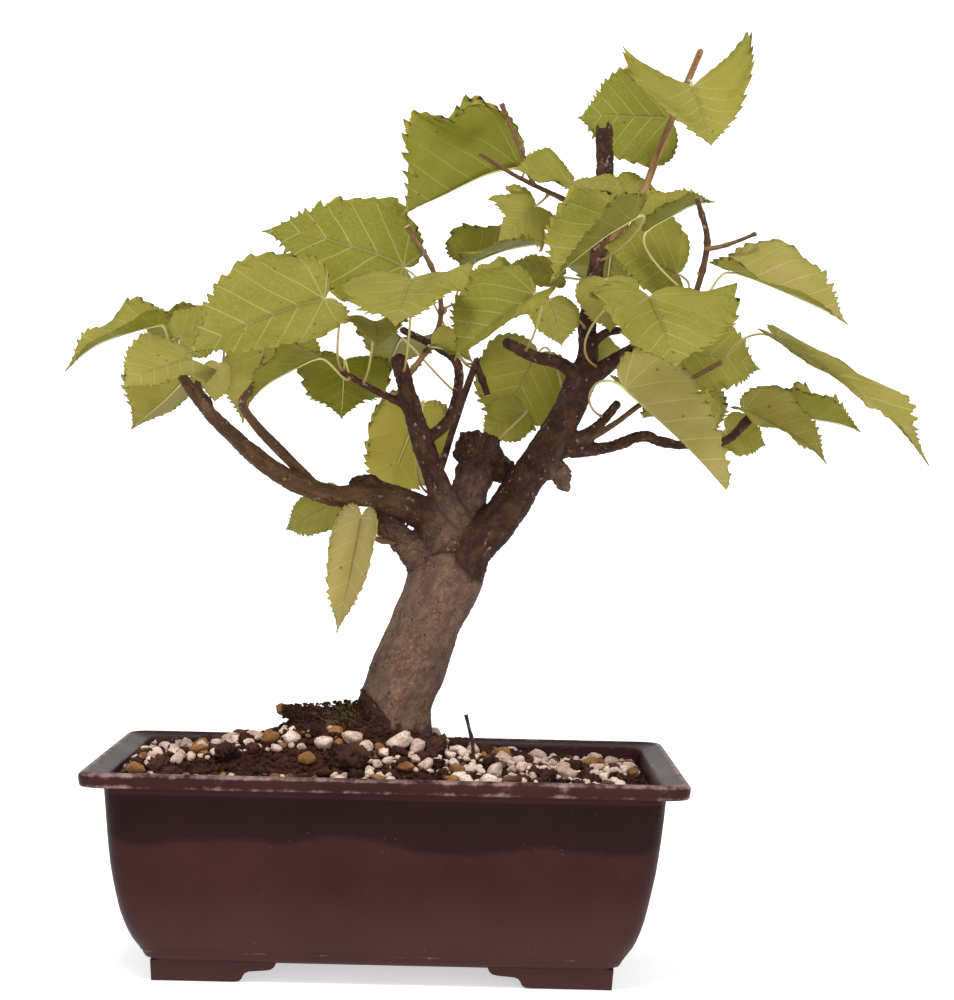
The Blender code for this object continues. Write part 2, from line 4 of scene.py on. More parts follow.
import bmesh
import bpy
import numpy as np
from mathutils import Matrix, Vector, noise
from mathutils.bvhtree import BVHTree
from mathutils.kdtree import KDTree


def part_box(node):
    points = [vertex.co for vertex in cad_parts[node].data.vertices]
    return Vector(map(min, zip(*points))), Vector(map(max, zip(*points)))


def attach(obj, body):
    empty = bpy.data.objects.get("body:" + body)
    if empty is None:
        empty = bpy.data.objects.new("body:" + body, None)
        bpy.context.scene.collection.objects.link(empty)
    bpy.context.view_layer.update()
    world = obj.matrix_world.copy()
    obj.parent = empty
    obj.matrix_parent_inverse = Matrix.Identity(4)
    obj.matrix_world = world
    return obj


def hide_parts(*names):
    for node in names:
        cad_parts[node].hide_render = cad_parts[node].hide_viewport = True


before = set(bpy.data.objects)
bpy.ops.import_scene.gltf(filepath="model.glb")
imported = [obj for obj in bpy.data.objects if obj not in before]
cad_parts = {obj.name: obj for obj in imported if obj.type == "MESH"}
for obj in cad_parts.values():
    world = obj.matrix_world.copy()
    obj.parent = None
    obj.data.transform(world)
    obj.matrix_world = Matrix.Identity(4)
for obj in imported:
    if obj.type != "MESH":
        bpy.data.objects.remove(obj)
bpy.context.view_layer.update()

# ---- Studio ------------------------------------------------------------------------------------
# The plant stands on a seamless pale paper floor under one large soft lamp overhead and to the
# front, in a white room. The camera is a long lens a little above the pot's rim.
pot_low, pot_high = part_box("pot")
STAND = Vector(((pot_low.x + pot_high.x) / 2, (pot_low.y + pot_high.y) / 2, 0.0))


def new_material(name):
    mat = bpy.data.materials.new(name)
    mat.use_nodes = True
    mat.node_tree.nodes.clear()
    return mat


def feed(value, socket):
    """Links a node's output to the socket, or sets the socket's own number or colour."""
    if isinstance(value, bpy.types.NodeSocket):
        socket.id_data.links.new(value, socket)
    elif socket.type == "RGBA":
        socket.default_value = (*value[:3], 1.0)
    else:
        socket.default_value = value


def add_node(tree, kind, label="", **settings):
    """A shader node; settings are its own properties, or its inputs given as in_<name>."""
    node = tree.nodes.new(kind)
    node.label = label
    for key, value in settings.items():
        if key.startswith("in_"):
            feed(value, node.inputs[key[3:].replace("_", " ")])
        else:
            setattr(node, key, value)
    return node


def principled(mat, **settings):
    """The material's own Principled BSDF, wired to its output."""
    shader = add_node(mat.node_tree, "ShaderNodeBsdfPrincipled", **settings).outputs[0]
    add_node(mat.node_tree, "ShaderNodeOutputMaterial", in_Surface=shader)


def smooth_object(name, verts, faces, *materials):
    mesh = bpy.data.meshes.new(name)
    mesh.from_pydata(verts, [], faces)
    mesh.shade_smooth()
    for material in materials:
        mesh.materials.append(material)
    return bpy.data.objects.new(name, mesh)


def paper_floor():
    """One sheet that runs flat under the pot and turns up behind it."""
    mat = new_material("seamless_paper")
    principled(mat, in_Base_Color=(0.86, 0.86, 0.86), in_Roughness=0.9,
               in_Emission_Color=(1.0, 1.0, 1.0), in_Emission_Strength=0.55)
    half_width, flat_end, bend = 4.0, 2.2, 0.8
    run = [(-3.0, 0.0), (flat_end, 0.0)]
    run += [(flat_end + bend * math.sin(a), bend - bend * math.cos(a))
            for a in np.linspace(0.1, math.pi / 2, 12)]
    run.append((flat_end + bend, 4.5))
    # a hair below zero, so that the feet of the pot stand clear of it
    verts = [(x, y, z - 0.0003) for y, z in run for x in (-half_width, half_width)]
    faces = [(2 * i, 2 * i + 1, 2 * i + 3, 2 * i + 2) for i in range(len(run) - 1)]
    floor = smooth_object("paper_floor", verts, faces, mat)
    bpy.context.scene.collection.objects.link(floor)


def soft_lamp(name, place, target, side, power):
    light = bpy.data.lights.new(name, "AREA")
    light.shape = "DISK"
    light.size = side
    light.energy = power
    lamp = bpy.data.objects.new(name, light)
    lamp.location = place
    lamp.rotation_euler = (Vector(target) - Vector(place)).to_track_quat("-Z", "Y").to_euler()
    bpy.context.scene.collection.objects.link(lamp)


def set_camera():
    lens = bpy.data.cameras.new("long_lens")
    lens.lens = 95.5
    lens.sensor_width = 36.0
    lens.clip_start = 0.05
    eye = STAND + Vector((0.0354, -1.391, 0.261))
    ahead = Vector((0.005, 1.0, -0.0134)).normalized()
    level = ahead.cross(Vector((0, 0, 1))).normalized()
    above = level.cross(ahead)
    roll = math.radians(1.34)
    right = level * math.cos(roll) + above * math.sin(roll)
    top = above * math.cos(roll) - level * math.sin(roll)
    turn = Matrix((right, top, -ahead)).transposed()
    camera = bpy.data.objects.new("long_lens", lens)
    camera.matrix_world = Matrix.Translation(eye) @ turn.to_4x4()
    bpy.context.scene.collection.objects.link(camera)
    bpy.context.scene.camera = camera


paper_floor()
soft_lamp("overhead_softbox", (-0.20, -1.05, 1.8), (0.0, 0.0, 0.25), 0.55, 28)
soft_lamp("front_fill", (0.4, -2.4, 0.5), (0.0, 0.0, 0.25), 1.2, 20)
room = bpy.data.worlds.new("white_room")
room.use_nodes = True
room.node_tree.nodes["Background"].inputs["Color"].default_value = (1.0, 1.0, 1.0, 1.0)
room.node_tree.nodes["Background"].inputs["Strength"].default_value = 0.66
bpy.context.scene.world = room
bpy.context.scene.view_settings.view_transform = "Standard"
set_camera()


# ---- Pot ---------------------------------------------------------------------------------------
# A training pot injection-moulded in one piece from brown polypropylene. It has a flat rolled rim,
# walls that curve in at the bottom, a ledge round the base and four corner feet with stepped ends.
# The plastic is satin, pale on the rim and corners with scuffs and a painted highlight, and finely
# scratched on its sides.
POT_LENGTH = 0.300
POT_DEPTH = 0.210
# section from the underside, up the outside, over the rim and down the inside:
# inset from the rim's outside, height, corner radius, and how worn it is with the painted rim
# highlight, all in millimetres but the last
POT_SECTION = [
    (60.0, 10.0, 6, 0.0), (34.5, 10.0, 9, 0.0), (31.2, 11.6, 10, 0.1), (29.9, 14.0, 10, 0.2),
    (29.6, 15.0, 10, 0.5), (28.9, 15.5, 10, 0.5), (28.7, 16.2, 10, 0.1), (26.9, 18.6, 11, 0.0),
    (25.0, 21.6, 11.5, 0.0), (23.4, 24.8, 12, 0.0), (21.5, 29.6, 12.5, 0.0),
    (19.6, 35.6, 13, 0.0), (17.7, 44.5, 13, 0.0), (16.3, 52.0, 13, 0.0), (15.0, 59.5, 13, 0.0),
    (13.9, 68.0, 13, 0.0), (12.8, 78.0, 13, 0.0), (11.8, 88.0, 13, 0.0), (10.9, 98.1, 13, 0.0),
    (10.3, 98.9, 12, 0.0), (9.4, 99.1, 12, 0.0), (2.6, 99.2, 10, 0.2), (1.2, 99.5, 10, 0.6),
    (0.6, 100.2, 10, 0.8), (0.25, 102.2, 10, 0.35), (0.0, 104.6, 10, 0.5), (0.2, 105.5, 10, 0.9),
    (1.0, 106.4, 10, 1.0), (2.2, 106.95, 10, 0.9), (3.3, 106.9, 10, 0.9), (4.0, 106.4, 9, 0.6),
    (5.0, 105.9, 9, 0.45), (8.5, 104.9, 8, 0.4), (11.1, 104.2, 7, 0.5), (11.9, 103.7, 7, 0.7),
    (12.4, 102.9, 7, 0.4), (13.2, 100.0, 7, 0.1), (14.3, 90.0, 7, 0.0), (15.5, 78.0, 7, 0.0),
]
# outline of a foot's skirt from the pot's corner: run and height in millimetres
FOOT_SKIRT = [(0.0, 0.0), (41.0, 0.0), (43.5, 0.4), (45.0, 1.6), (45.8, 3.2), (47.0, 4.6),
              (49.0, 5.4), (57.5, 6.1), (60.0, 6.6), (61.6, 7.7), (62.6, 9.3), (63.0, 10.4),
              (0.0, 10.4)]
SKIRT_TOP = 10.4
SKIRT_THICKNESS = 0.0042
FOOT_INSET = 0.0352


def place(obj, slot, *nodes, body="root"):
    """Moves a piece modelled about the pot's middle to where the pot stands, and hands it over."""
    obj.location = STAND
    bpy.context.scene.collection.objects.link(obj)
    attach(obj, body)
    if nodes:
        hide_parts(*nodes)
    return obj


def point_attribute(mesh, name, values):
    layer = mesh.attributes.new(name, "FLOAT", "POINT")
    layer.data.foreach_set("value", np.asarray(values, dtype=np.float32))


def pot_ring(inset, height, radius):
    """Points round the pot at one level, straight sides divided so that they can bow a little."""
    half_x = POT_LENGTH / 2 - inset
    half_y = POT_DEPTH / 2 - inset
    corners = [(1, 1, 0.0), (-1, 1, 0.5), (-1, -1, 1.0), (1, -1, 1.5)]
    ring = []
    for index, (sx, sy, quarter) in enumerate(corners):
        arc = []
        for step in range(9):
            turn = math.pi * (quarter + step / 16)
            arc.append((sx * (half_x - radius) + radius * math.cos(turn),
                        sy * (half_y - radius) + radius * math.sin(turn)))
        ring += arc
        nx, ny, quarter = corners[(index + 1) % 4]
        turn = math.pi * quarter
        end = (nx * (half_x - radius) + radius * math.cos(turn),
               ny * (half_y - radius) + radius * math.sin(turn))
        divisions = 14 if index % 2 == 0 else 10
        for k in range(1, divisions):
            t = k / divisions
            ring.append((arc[-1][0] * (1 - t) + end[0] * t, arc[-1][1] * (1 - t) + end[1] * t))
    # thin walls warp by a few tenths of a millimetre between the stiff rim and the base
    slack = 0.0007 * math.sin(math.pi * min(max((height - 0.016) / 0.083, 0.0), 1.0))
    bowed = []
    for x, y in ring:
        push = slack * (0.4 + noise.noise(Vector((x * 9, y * 9, height * 14))))
        scale = 1.0 + push / max(abs(x), abs(y), 0.05)
        bowed.append((x * scale, y * scale, height))
    return bowed


def moulded_pot():
    bm = bmesh.new()
    wear_and_highlight = []
    rings = []
    for inset, height, radius, worn in POT_SECTION:
        ring = pot_ring(inset / 1000, height / 1000, radius / 1000)
        rings.append([bm.verts.new(p) for p in ring])
        wear_and_highlight += [worn] * len(ring)
    for low, high in zip(rings, rings[1:]):
        count = len(low)
        for i in range(count):
            j = (i + 1) % count
            bm.faces.new((low[i], low[j], high[j], high[i]))
    bm.faces.new(rings[0])
    # skirts of the four feet
    for sx in (-1, 1):
        for sy in (-1, 1):
            for along_x in (True, False):
                faces = []
                for depth in (0.0, SKIRT_THICKNESS):
                    loop = []
                    for run, height in FOOT_SKIRT:
                        run /= 1000
                        if not along_x:
                            run *= 0.78
                        if run == 0.0:
                            run = -0.0002 * (1 - height / SKIRT_TOP)
                        x, y = (run, depth) if along_x else (depth, run)
                        # the skirt leans out a little towards the floor it hangs from
                        lean = 0.0009 * height / SKIRT_TOP
                        loop.append(bm.verts.new((
                            sx * (POT_LENGTH / 2 - FOOT_INSET - x + lean),
                            sy * (POT_DEPTH / 2 - FOOT_INSET - y + lean), height / 1000)))
                        wear_and_highlight.append(0.5 if height < 1 else 0.1)
                    faces.append(loop)
                    bm.faces.new(loop)
                for i in range(len(loop)):
                    j = (i + 1) % len(loop)
                    bm.faces.new((faces[0][i], faces[0][j], faces[1][j], faces[1][i]))
    bmesh.ops.recalc_face_normals(bm, faces=bm.faces)
    mesh = bpy.data.meshes.new("pot_shell")
    bm.to_mesh(mesh)
    bm.free()
    # how worn each point is; the same mask also places a painted highlight on the rim
    point_attribute(mesh, "wear_and_highlight", wear_and_highlight)
    mesh.shade_smooth()
    mesh.set_sharp_from_angle(angle=math.radians(38))
    mesh.materials.append(satin_plastic())
    return bpy.data.objects.new("pot_shell", mesh)


def local_point(mat):
    """The point being shaded, in the object's own axes."""
    return add_node(mat.node_tree, "ShaderNodeTexCoord").outputs["Object"]


def attribute_of(mat, name, output="Fac"):
    return add_node(mat.node_tree, "ShaderNodeAttribute", attribute_name=name).outputs[output]


def noise_of(vector, scale, detail=2.0, rough=0.5, label=""):
    return add_node(vector.id_data, "ShaderNodeTexNoise", label, in_Vector=vector, in_Scale=scale,
                    in_Detail=detail, in_Roughness=rough).outputs["Fac"]


def ranged(value, low, high, to_low=0.0, to_high=1.0, shape="SMOOTHSTEP"):
    return add_node(value.id_data, "ShaderNodeMapRange", interpolation_type=shape, in_Value=value,
                    in_From_Min=low, in_From_Max=high, in_To_Min=to_low,
                    in_To_Max=to_high).outputs["Result"]


def calc(operation, *values, label=""):
    """Arithmetic on numbers and node outputs."""
    tree = next(v for v in values if isinstance(v, bpy.types.NodeSocket)).id_data
    node = add_node(tree, "ShaderNodeMath", label, operation=operation)
    for value, socket in zip(values, node.inputs):
        feed(value, socket)
    return node.outputs[0]


def blend(label, factor, below, above):
    node = add_node(factor.id_data, "ShaderNodeMix", label, data_type="RGBA")
    for index, value in ((0, factor), (6, below), (7, above)):
        feed(value, node.inputs[index])
    return node.outputs[2]


def ramp(label, factor, *stops):
    """Colours along the factor, each stop a position and a colour."""
    node = add_node(factor.id_data, "ShaderNodeValToRGB", label, in_Fac=factor)
    marks = node.color_ramp.elements
    while len(marks) < len(stops):
        marks.new(0.5)
    for mark, (at, colour) in zip(marks, stops):
        mark.position = at
        mark.color = (*colour, 1.0)
    return node.outputs["Color"]


def bumped(height, strength, distance, invert=False):
    return add_node(height.id_data, "ShaderNodeBump", in_Height=height, in_Strength=strength,
                    in_Distance=distance, invert=invert).outputs["Normal"]


def satin_plastic():
    mat = new_material("brown_polypropylene")
    where = local_point(mat)
    cloud = noise_of(where, 22.0, 5.0, 0.6, "hazy patches")
    colour = ramp("plastic colour", cloud, (0.3, (0.024, 0.0070, 0.0065)),
                  (0.75, (0.038, 0.0120, 0.0112)))
    # painted reflection of the pale floor: towards the feet, where the wall curves under, the
    # plastic is painted lighter
    split = add_node(mat.node_tree, "ShaderNodeSeparateXYZ", in_Vector=where)
    height = split.outputs["Z"]
    colour = blend("painted floor reflection near the feet", ranged(height, 0.060, 0.018, 0.0, 0.38), colour,
                   (0.070, 0.033, 0.031))
    # painted shadow of the rim and the leaves above: under the rim the wall is painted dark, down
    # to a ragged edge
    ragged = calc("MULTIPLY_ADD", noise_of(where, 13.0, 4.0), 0.030, height)
    painted_rim_shadow = calc("MULTIPLY", ranged(ragged, 0.0875, 0.0915, 0.0, 0.72),
                calc("LESS_THAN", height, 0.0955))
    colour = blend("painted shadow under the rim", painted_rim_shadow, colour, (0.0085, 0.0028, 0.0026))
    # pale scuffs and a painted highlight: worn edges and the top of the rim, broken up by noise
    scuff_and_highlight = calc("MULTIPLY_ADD", attribute_of(mat, "wear_and_highlight"), 0.36,
                 noise_of(where, 75.0, 8.0, 0.72, "scuffs"))
    colour = blend("scuffed with painted highlight", ranged(scuff_and_highlight, 0.72, 1.00), colour, (0.26, 0.16, 0.145))
    # fine specks of dust on the walls, in patches
    cells = add_node(mat.node_tree, "ShaderNodeTexVoronoi", "specks", in_Vector=where,
                     in_Scale=210.0)
    specks = calc("MULTIPLY", ranged(cells.outputs["Distance"], 0.062, 0.030, shape="LINEAR"),
                  ranged(noise_of(where, 38.0), 0.46, 0.68, 0.0, 0.6, "LINEAR"))
    colour = blend("dust specks", specks, colour, (0.30, 0.21, 0.19))
    principled(mat, in_Base_Color=colour, in_IOR=1.36, in_Specular_IOR_Level=0.10,
               in_Roughness=ranged(cloud, 0.0, 1.0, 0.34, 0.56, "LINEAR"),
               in_Normal=bumped(noise_of(where, 420.0, 3.0), 0.25, 0.0002))
    return mat


place(moulded_pot(), "pot_plastic", "pot")


def two_toned(name, roughness, scale, detail, *stops):
    """A plain material whose colour drifts between two tones."""
    mat = new_material(name)
    tone = ramp("tone", noise_of(local_point(mat), scale, detail), *stops)
    principled(mat, in_Base_Color=tone, in_Roughness=roughness)
    return mat


# Two square plastic screens lie over the drainage holes, under the soil.
mesh_plastic = two_toned("screen_plastic", 0.6, 300.0, 2.0, (0.0, (0.010, 0.010, 0.010)),
                         (1.0, (0.030, 0.028, 0.026)))
for name in ("drain_screen_left", "drain_screen_right"):
    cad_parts[name].data.materials.clear()
    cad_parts[name].data.materials.append(mesh_plastic)


# ---- Soil --------------------------------------------------------------------------------------
# Dark fibrous peat fills the pot and heaps up round the trunk. It is mixed with pale pumice,
# ochre and dark fired clay grains of 3 to 14 mm, most of them lying loose on top. A tuft of moss
# grows where the surface root leaves the trunk.
rng = random.Random(11)
noise.seed_set(11)      # noise_vector would otherwise change from run to run
BED_X, BED_Y = 0.1358, 0.0908      # half the length and width of the soil's surface
SMALL_GRAIN = 0.0027               # grains below this radius share a few coarser shapes


def soil_height(x, y):
    bump = math.exp(-((x + 0.020) / 0.075) ** 2 - (y / 0.060) ** 2)
    return 0.0988 - 0.0174 * x + 0.0250 * bump


def peat_height(x, y):
    """The soil's own level with its clods: coarse lumps, crumbs, and a collar round the trunk."""
    spot = Vector((x, y, 0.0))
    lumps = 0.0024 * noise.fractal(spot * 70, 0.8, 2.1, 4)
    crumbs = 0.0014 * noise.fractal(spot * 340 + Vector((3, 1, 7)), 0.7, 2.0, 3)
    edge = min(1.0, (BED_X - abs(x)) / 0.004, (BED_Y - abs(y)) / 0.004)
    collar = 0.0065 * math.exp(-(((x - 0.001) / 0.025) ** 2 + (y / 0.025) ** 2) ** 2)
    ridge = 0.0066 * math.exp(-((y + 0.006) / 0.015) ** 2) * math.exp(-((x + 0.034) / 0.024) ** 4)
    return soil_height(x, y) - 0.0012 + (lumps + crumbs) * max(edge, 0.2) + collar + ridge


def crumbly_peat():
    mat = new_material("damp_peat")
    where = local_point(mat)
    colour = ramp("peat colour", noise_of(where, 160.0, 9.0, 0.7, "clods"),
                  (0.32, (0.012, 0.0042, 0.0028)), (0.72, (0.085, 0.034, 0.020)))
    fibre = add_node(mat.node_tree, "ShaderNodeTexNoise", "fibres", in_Vector=where,
                     in_Scale=900.0, in_Detail=4.0, in_Distortion=1.5)
    principled(mat, in_Base_Color=colour, in_Roughness=0.98, in_Specular_IOR_Level=0.08,
               in_Normal=bumped(fibre.outputs["Fac"], 0.9, 0.0008))
    return mat


def grain_material(name, dark, light, pits, roughness):
    """Mineral grain: colour that drifts from grain to grain, and small open pores."""
    mat = new_material(name)
    where = local_point(mat)
    drift = ramp("grain colour", noise_of(where, 70.0, 7.0, 0.65), (0.35, dark), (0.62, light))
    pores = add_node(mat.node_tree, "ShaderNodeTexVoronoi", "pores", in_Vector=where,
                     in_Scale=900.0)
    solid = ranged(pores.outputs["Distance"], 0.14, 0.30, shape="LINEAR")
    # the pores are painted darker than the grain round them
    pore_tone = tuple(tone * pits for tone in dark)
    principled(mat, in_Base_Color=blend("darker in the pores", solid, pore_tone, drift),
               in_Roughness=roughness, in_Specular_IOR_Level=0.15,
               in_Normal=bumped(solid, 0.7, 0.0005))
    return mat


def peat_bed():
    """The visible top of the soil as a fine crumbly grid, closed by a skirt against the walls."""
    nx, ny = 240, 160
    xs = np.linspace(-BED_X, BED_X, nx)
    ys = np.linspace(-BED_Y, BED_Y, ny)
    verts = [(x, y, peat_height(x, y)) for y in ys for x in xs]
    faces = [(j * nx + i, j * nx + i + 1, (j + 1) * nx + i + 1, (j + 1) * nx + i)
             for j in range(ny - 1) for i in range(nx - 1)]
    rim = ([i for i in range(nx)] + [j * nx + nx - 1 for j in range(1, ny)]
           + [(ny - 1) * nx + i for i in range(nx - 2, -1, -1)]
           + [j * nx for j in range(ny - 2, 0, -1)])
    base = len(verts)
    verts += [(verts[k][0] * 0.985, verts[k][1] * 0.985, 0.085) for k in rim]
    count = len(rim)
    for i in range(count):
        j = (i + 1) % count
        faces.append((rim[j], rim[i], base + i, base + j))
    faces.append(tuple(base + i for i in range(count)))
    return smooth_object("peat_bed", verts, faces, crumbly_peat())


def lump(seed, roundness, subdivisions, rough=0.0):
    """One mineral grain about 2 across: a sphere pushed and flattened into a broken stone."""
    bm = bmesh.new()
    bmesh.ops.create_icosphere(bm, subdivisions=subdivisions, radius=1.0)
    offset = Vector((seed * 7.3, seed * 1.9, seed * 4.1))
    cuts = []
    for k in range(1, 8):
        steps = (Vector((k, 0, 0)), Vector((0, k, 5)), Vector((9, 0, k)))
        cuts.append(Vector([noise.noise(offset + step) for step in steps]).normalized())
    for vert in bm.verts:
        way = vert.co.normalized()
        size = 1.0 + 0.42 * noise.noise(way * 1.3 + offset) + 0.16 * noise.noise(way * 3.4 + offset)
        for cut in cuts:
            reach = way.dot(cut) * size
            if reach > roundness:
                size -= (reach - roundness) * 0.75
        size += rough * noise.fractal(way * 3.5 + offset, 0.7, 2.1, 4)
        vert.co = way * size
    points = np.array([v.co[:] for v in bm.verts])
    faces = np.array([[v.index for v in f.verts] for f in bm.faces])
    bm.free()
    return points, faces


def scatter(name, mat, shapes, grains):
    """One mesh of many grains: each is (shape, place, radius, squash, turn)."""
    points, faces, base = [], [], 0
    for shape, spot, radius, squash, turn in grains:
        body, sides = shapes[shape]
        spin = np.array(Matrix.Rotation(turn[0], 3, "X") @ Matrix.Rotation(turn[1], 3, "Y"))
        yaw = np.array(Matrix.Rotation(turn[2], 3, "Z"))
        moved = (body @ spin.T) * np.array((1.0, squash[0], squash[1])) * radius
        points.append(moved @ yaw.T + np.array(spot))
        faces.append(sides + base)
        base += len(body)
    return smooth_object(name, np.concatenate(points).tolist(),
                         np.concatenate(faces).tolist(), mat)


def off_limits(x, y, radius):
    """True on the trunk, over the root and beyond the pot's inner wall."""
    if math.hypot(x - 0.002, y) < 0.0235 + radius * 0.6:
        return True
    if -0.062 < x < 0.0 and abs(y + 0.006) < 0.006 + radius * 0.5:
        return True
    return abs(x) > 0.1352 - radius or abs(y) > 0.0904 - radius


def choose_grains():
    """Where the loose grains lie: big ones first, none deep inside another."""
    sizes = [(0.0050, 34), (0.0041, 90), (0.0031, 190), (0.0023, 300), (0.0016, 420)]
    # a few that stand out: place, radius and kind
    chosen = [
        [-0.0190, -0.0620, 0.0092, "clod"], [-0.1150, -0.0520, 0.0062, "clod"],
        [-0.0820, -0.0400, 0.0070, "clod"], [0.0230, -0.0300, 0.0070, "clod"],
        [-0.0180, -0.0360, 0.0062, "pumice"], [-0.0330, -0.0400, 0.0056, "pumice"],
        [0.0060, -0.0330, 0.0068, "pumice"], [0.0150, -0.0330, 0.0054, "pumice"],
        [-0.0500, -0.0300, 0.0052, "pumice"], [-0.0400, -0.0560, 0.0050, "ochre"],
        [-0.0620, -0.0240, 0.0052, "ochre"], [0.0600, 0.0200, 0.0052, "ochre"],
        [-0.1260, -0.0620, 0.0052, "ochre"], [0.1080, 0.0560, 0.0056, "ochre"],
        [0.0620, -0.0680, 0.0060, "clay"], [0.1180, -0.0740, 0.0050, "clay"],
    ]
    for radius, count in sizes:
        placed = tries = 0
        while placed < count and tries < count * 40:
            tries += 1
            x = rng.uniform(-0.133, 0.133)
            y = rng.uniform(-0.089, 0.089)
            r = radius * rng.uniform(0.82, 1.2)
            # bare peat shows in patches, mostly on the left and round the root
            bare = noise.noise(Vector((x * 26, y * 26, 2.0))) + (0.10 if x < -0.03 else 0.0)
            if bare > 0.14 or off_limits(x, y, r):
                continue
            if any(math.hypot(x - g[0], y - g[1]) < 0.78 * (r + g[2]) for g in chosen):
                continue
            roll = rng.random()
            brown = 0.22 if x < -0.02 else 0.17
            kind = "pumice"
            if roll < brown:
                kind = "ochre" if roll < brown * 0.55 else "clay"
            elif roll < brown + 0.24:
                kind = "clod"
            chosen.append([x, y, r, kind])
            placed += 1
    return chosen


pumice_shapes = [lump(k, 0.64, 3) for k in range(9)]
stone_shapes = [lump(20 + k, 0.62, 3) for k in range(7)]
small_shapes = [lump(40 + k, 0.62, 2) for k in range(8)]
crumb_shapes = [lump(60 + k, 0.70, 1) for k in range(6)]
clod_shapes = [lump(80 + k, 0.95, 4, 0.30) for k in range(9)]
large = {"pumice": [], "ochre": [], "clay": [], "clod": []}
small = {"pumice": [], "ochre": [], "clay": [], "clod": []}
for x, y, r, kind in choose_grains():
    squash = (rng.uniform(0.72, 1.0), rng.uniform(0.62, 0.86))
    turn = [rng.uniform(0, 6.28) for _ in range(3)]
    spot = (x, y, soil_height(x, y) + r * rng.uniform(0.25, 0.55))
    if r > SMALL_GRAIN:
        count = 9 if kind == "pumice" else 7
        large[kind].append((rng.randrange(count), spot, r, squash, turn))
    else:
        small[kind].append((rng.randrange(8), spot, r, squash, turn))

place(peat_bed(), "soil", "soil")
# each kind's grains, its smaller pieces, its colours, how dark its pores are, and its roughness
for kind, shapes, material, big, little, dark, light, pits, roughness in (
        ("pumice", pumice_shapes, "pumice", "pumice_grains", "pumice_chips",
         (0.36, 0.22, 0.165), (0.76, 0.60, 0.51), 0.30, 0.95),
        ("ochre", stone_shapes, "ochre_clay", "ochre_grains", "ochre_chips",
         (0.14, 0.058, 0.018), (0.32, 0.150, 0.052), 0.4, 0.9),
        ("clay", stone_shapes, "fired_clay", "fired_clay_grains", "fired_clay_chips",
         (0.050, 0.020, 0.013), (0.130, 0.062, 0.042), 0.5, 0.85),
        ("clod", clod_shapes, "peat_clod", "peat_clods", "peat_lumps",
         (0.016, 0.0058, 0.0040), (0.072, 0.028, 0.018), 0.5, 0.98)):
    grain = grain_material(material, dark, light, pits, roughness)
    place(scatter(big, grain, shapes, large[kind]), "soil", "soil")
    place(scatter(little, grain, small_shapes, small[kind]), "soil", "soil")

# crumbs of peat between and on the grains, thickest on the ridge over the root
crumbs = []
while len(crumbs) < 7000:
    x = rng.uniform(-0.134, 0.134)
    y = rng.uniform(-0.090, 0.090)
    if len(crumbs) < 900:
        x = rng.gauss(-0.030, 0.034)
        y = rng.gauss(-0.006, 0.026)
        if not (abs(x) < 0.133 and abs(y) < 0.089):
            continue
    if math.hypot(x - 0.002, y) < 0.0205:
        continue
    r = 0.0005 + 0.0017 * rng.random() ** 2
    z = peat_height(x, y) + rng.uniform(0.0, 0.0012)
    crumbs.append((rng.randrange(6), (x, y, z), r, (rng.uniform(0.6, 1), rng.uniform(0.6, 1)),
                   [rng.uniform(0, 6.28) for _ in range(3)]))
for k in range(520):
    x = rng.uniform(-0.056, -0.008)
    turn = rng.gauss(0.0, 0.9)
    girth = 0.0042 + 0.0045 * (x + 0.056) / 0.048
    r = 0.0005 + 0.0011 * rng.random() ** 2
    z = 0.1275 + 0.0012 * math.cos(k) + girth * math.cos(turn)
    crumbs.append((rng.randrange(6), (x, -0.0065 + girth * math.sin(turn), z), r, (0.8, 0.7),
                   [rng.uniform(0, 6.28) for _ in range(3)]))
place(scatter("peat_crumbs", bpy.data.materials["damp_peat"], crumb_shapes, crumbs), "soil", "soil")


def fibres(name, mat, strands, sides=3):
    """Thin tapering strands, each a list of (x, y, z, radius), as one mesh."""
    verts, faces = [], []
    for strand in strands:
        base = len(verts)
        for k, (x, y, z, r) in enumerate(strand):
            centre = Vector((x, y, z))
            ahead = (Vector(strand[min(k + 1, len(strand) - 1)][:3])
                     - Vector(strand[max(k - 1, 0)][:3])).normalized()
            side = ahead.orthogonal().normalized()
            other = ahead.cross(side)
            for m in range(sides):
                turn = 2 * math.pi * m / sides
                verts.append(centre + r * (side * math.cos(turn) + other * math.sin(turn)))
        for k in range(len(strand) - 1):
            for m in range(sides):
                n = (m + 1) % sides
                faces.append((base + k * sides + m, base + k * sides + n,
                              base + (k + 1) * sides + n, base + (k + 1) * sides + m))
        faces.append(tuple(base + m for m in reversed(range(sides))))
        faces.append(tuple(base + (len(strand) - 1) * sides + m for m in range(sides)))
    return smooth_object(name, verts, faces, mat)


def peat_fibres():
    strands = []
    while len(strands) < 420:
        x = rng.gauss(-0.030, 0.045)
        y = rng.gauss(-0.010, 0.035)
        if abs(x) > 0.131 or abs(y) > 0.087 or math.hypot(x - 0.002, y) < 0.021:
            continue
        turn = rng.uniform(0, 6.28)
        length = rng.uniform(0.002, 0.007)
        rise = rng.uniform(0.0, 0.5)
        z = peat_height(x, y) - 0.0002
        bend = rng.uniform(-1.2, 1.2)
        strand = []
        for k in range(5):
            t = k / 4
            way = turn + bend * t
            strand.append((x + math.cos(way) * length * t, y + math.sin(way) * length * t,
                           z + rise * length * math.sin(math.pi * 0.7 * t),
                           0.00016 * (1 - 0.6 * t)))
        if abs(strand[-1][0]) < 0.133 and abs(strand[-1][1]) < 0.089:
            strands.append(strand)
    return strands


place(fibres("peat_fibres", bpy.data.materials["damp_peat"], peat_fibres()), "soil", "soil")


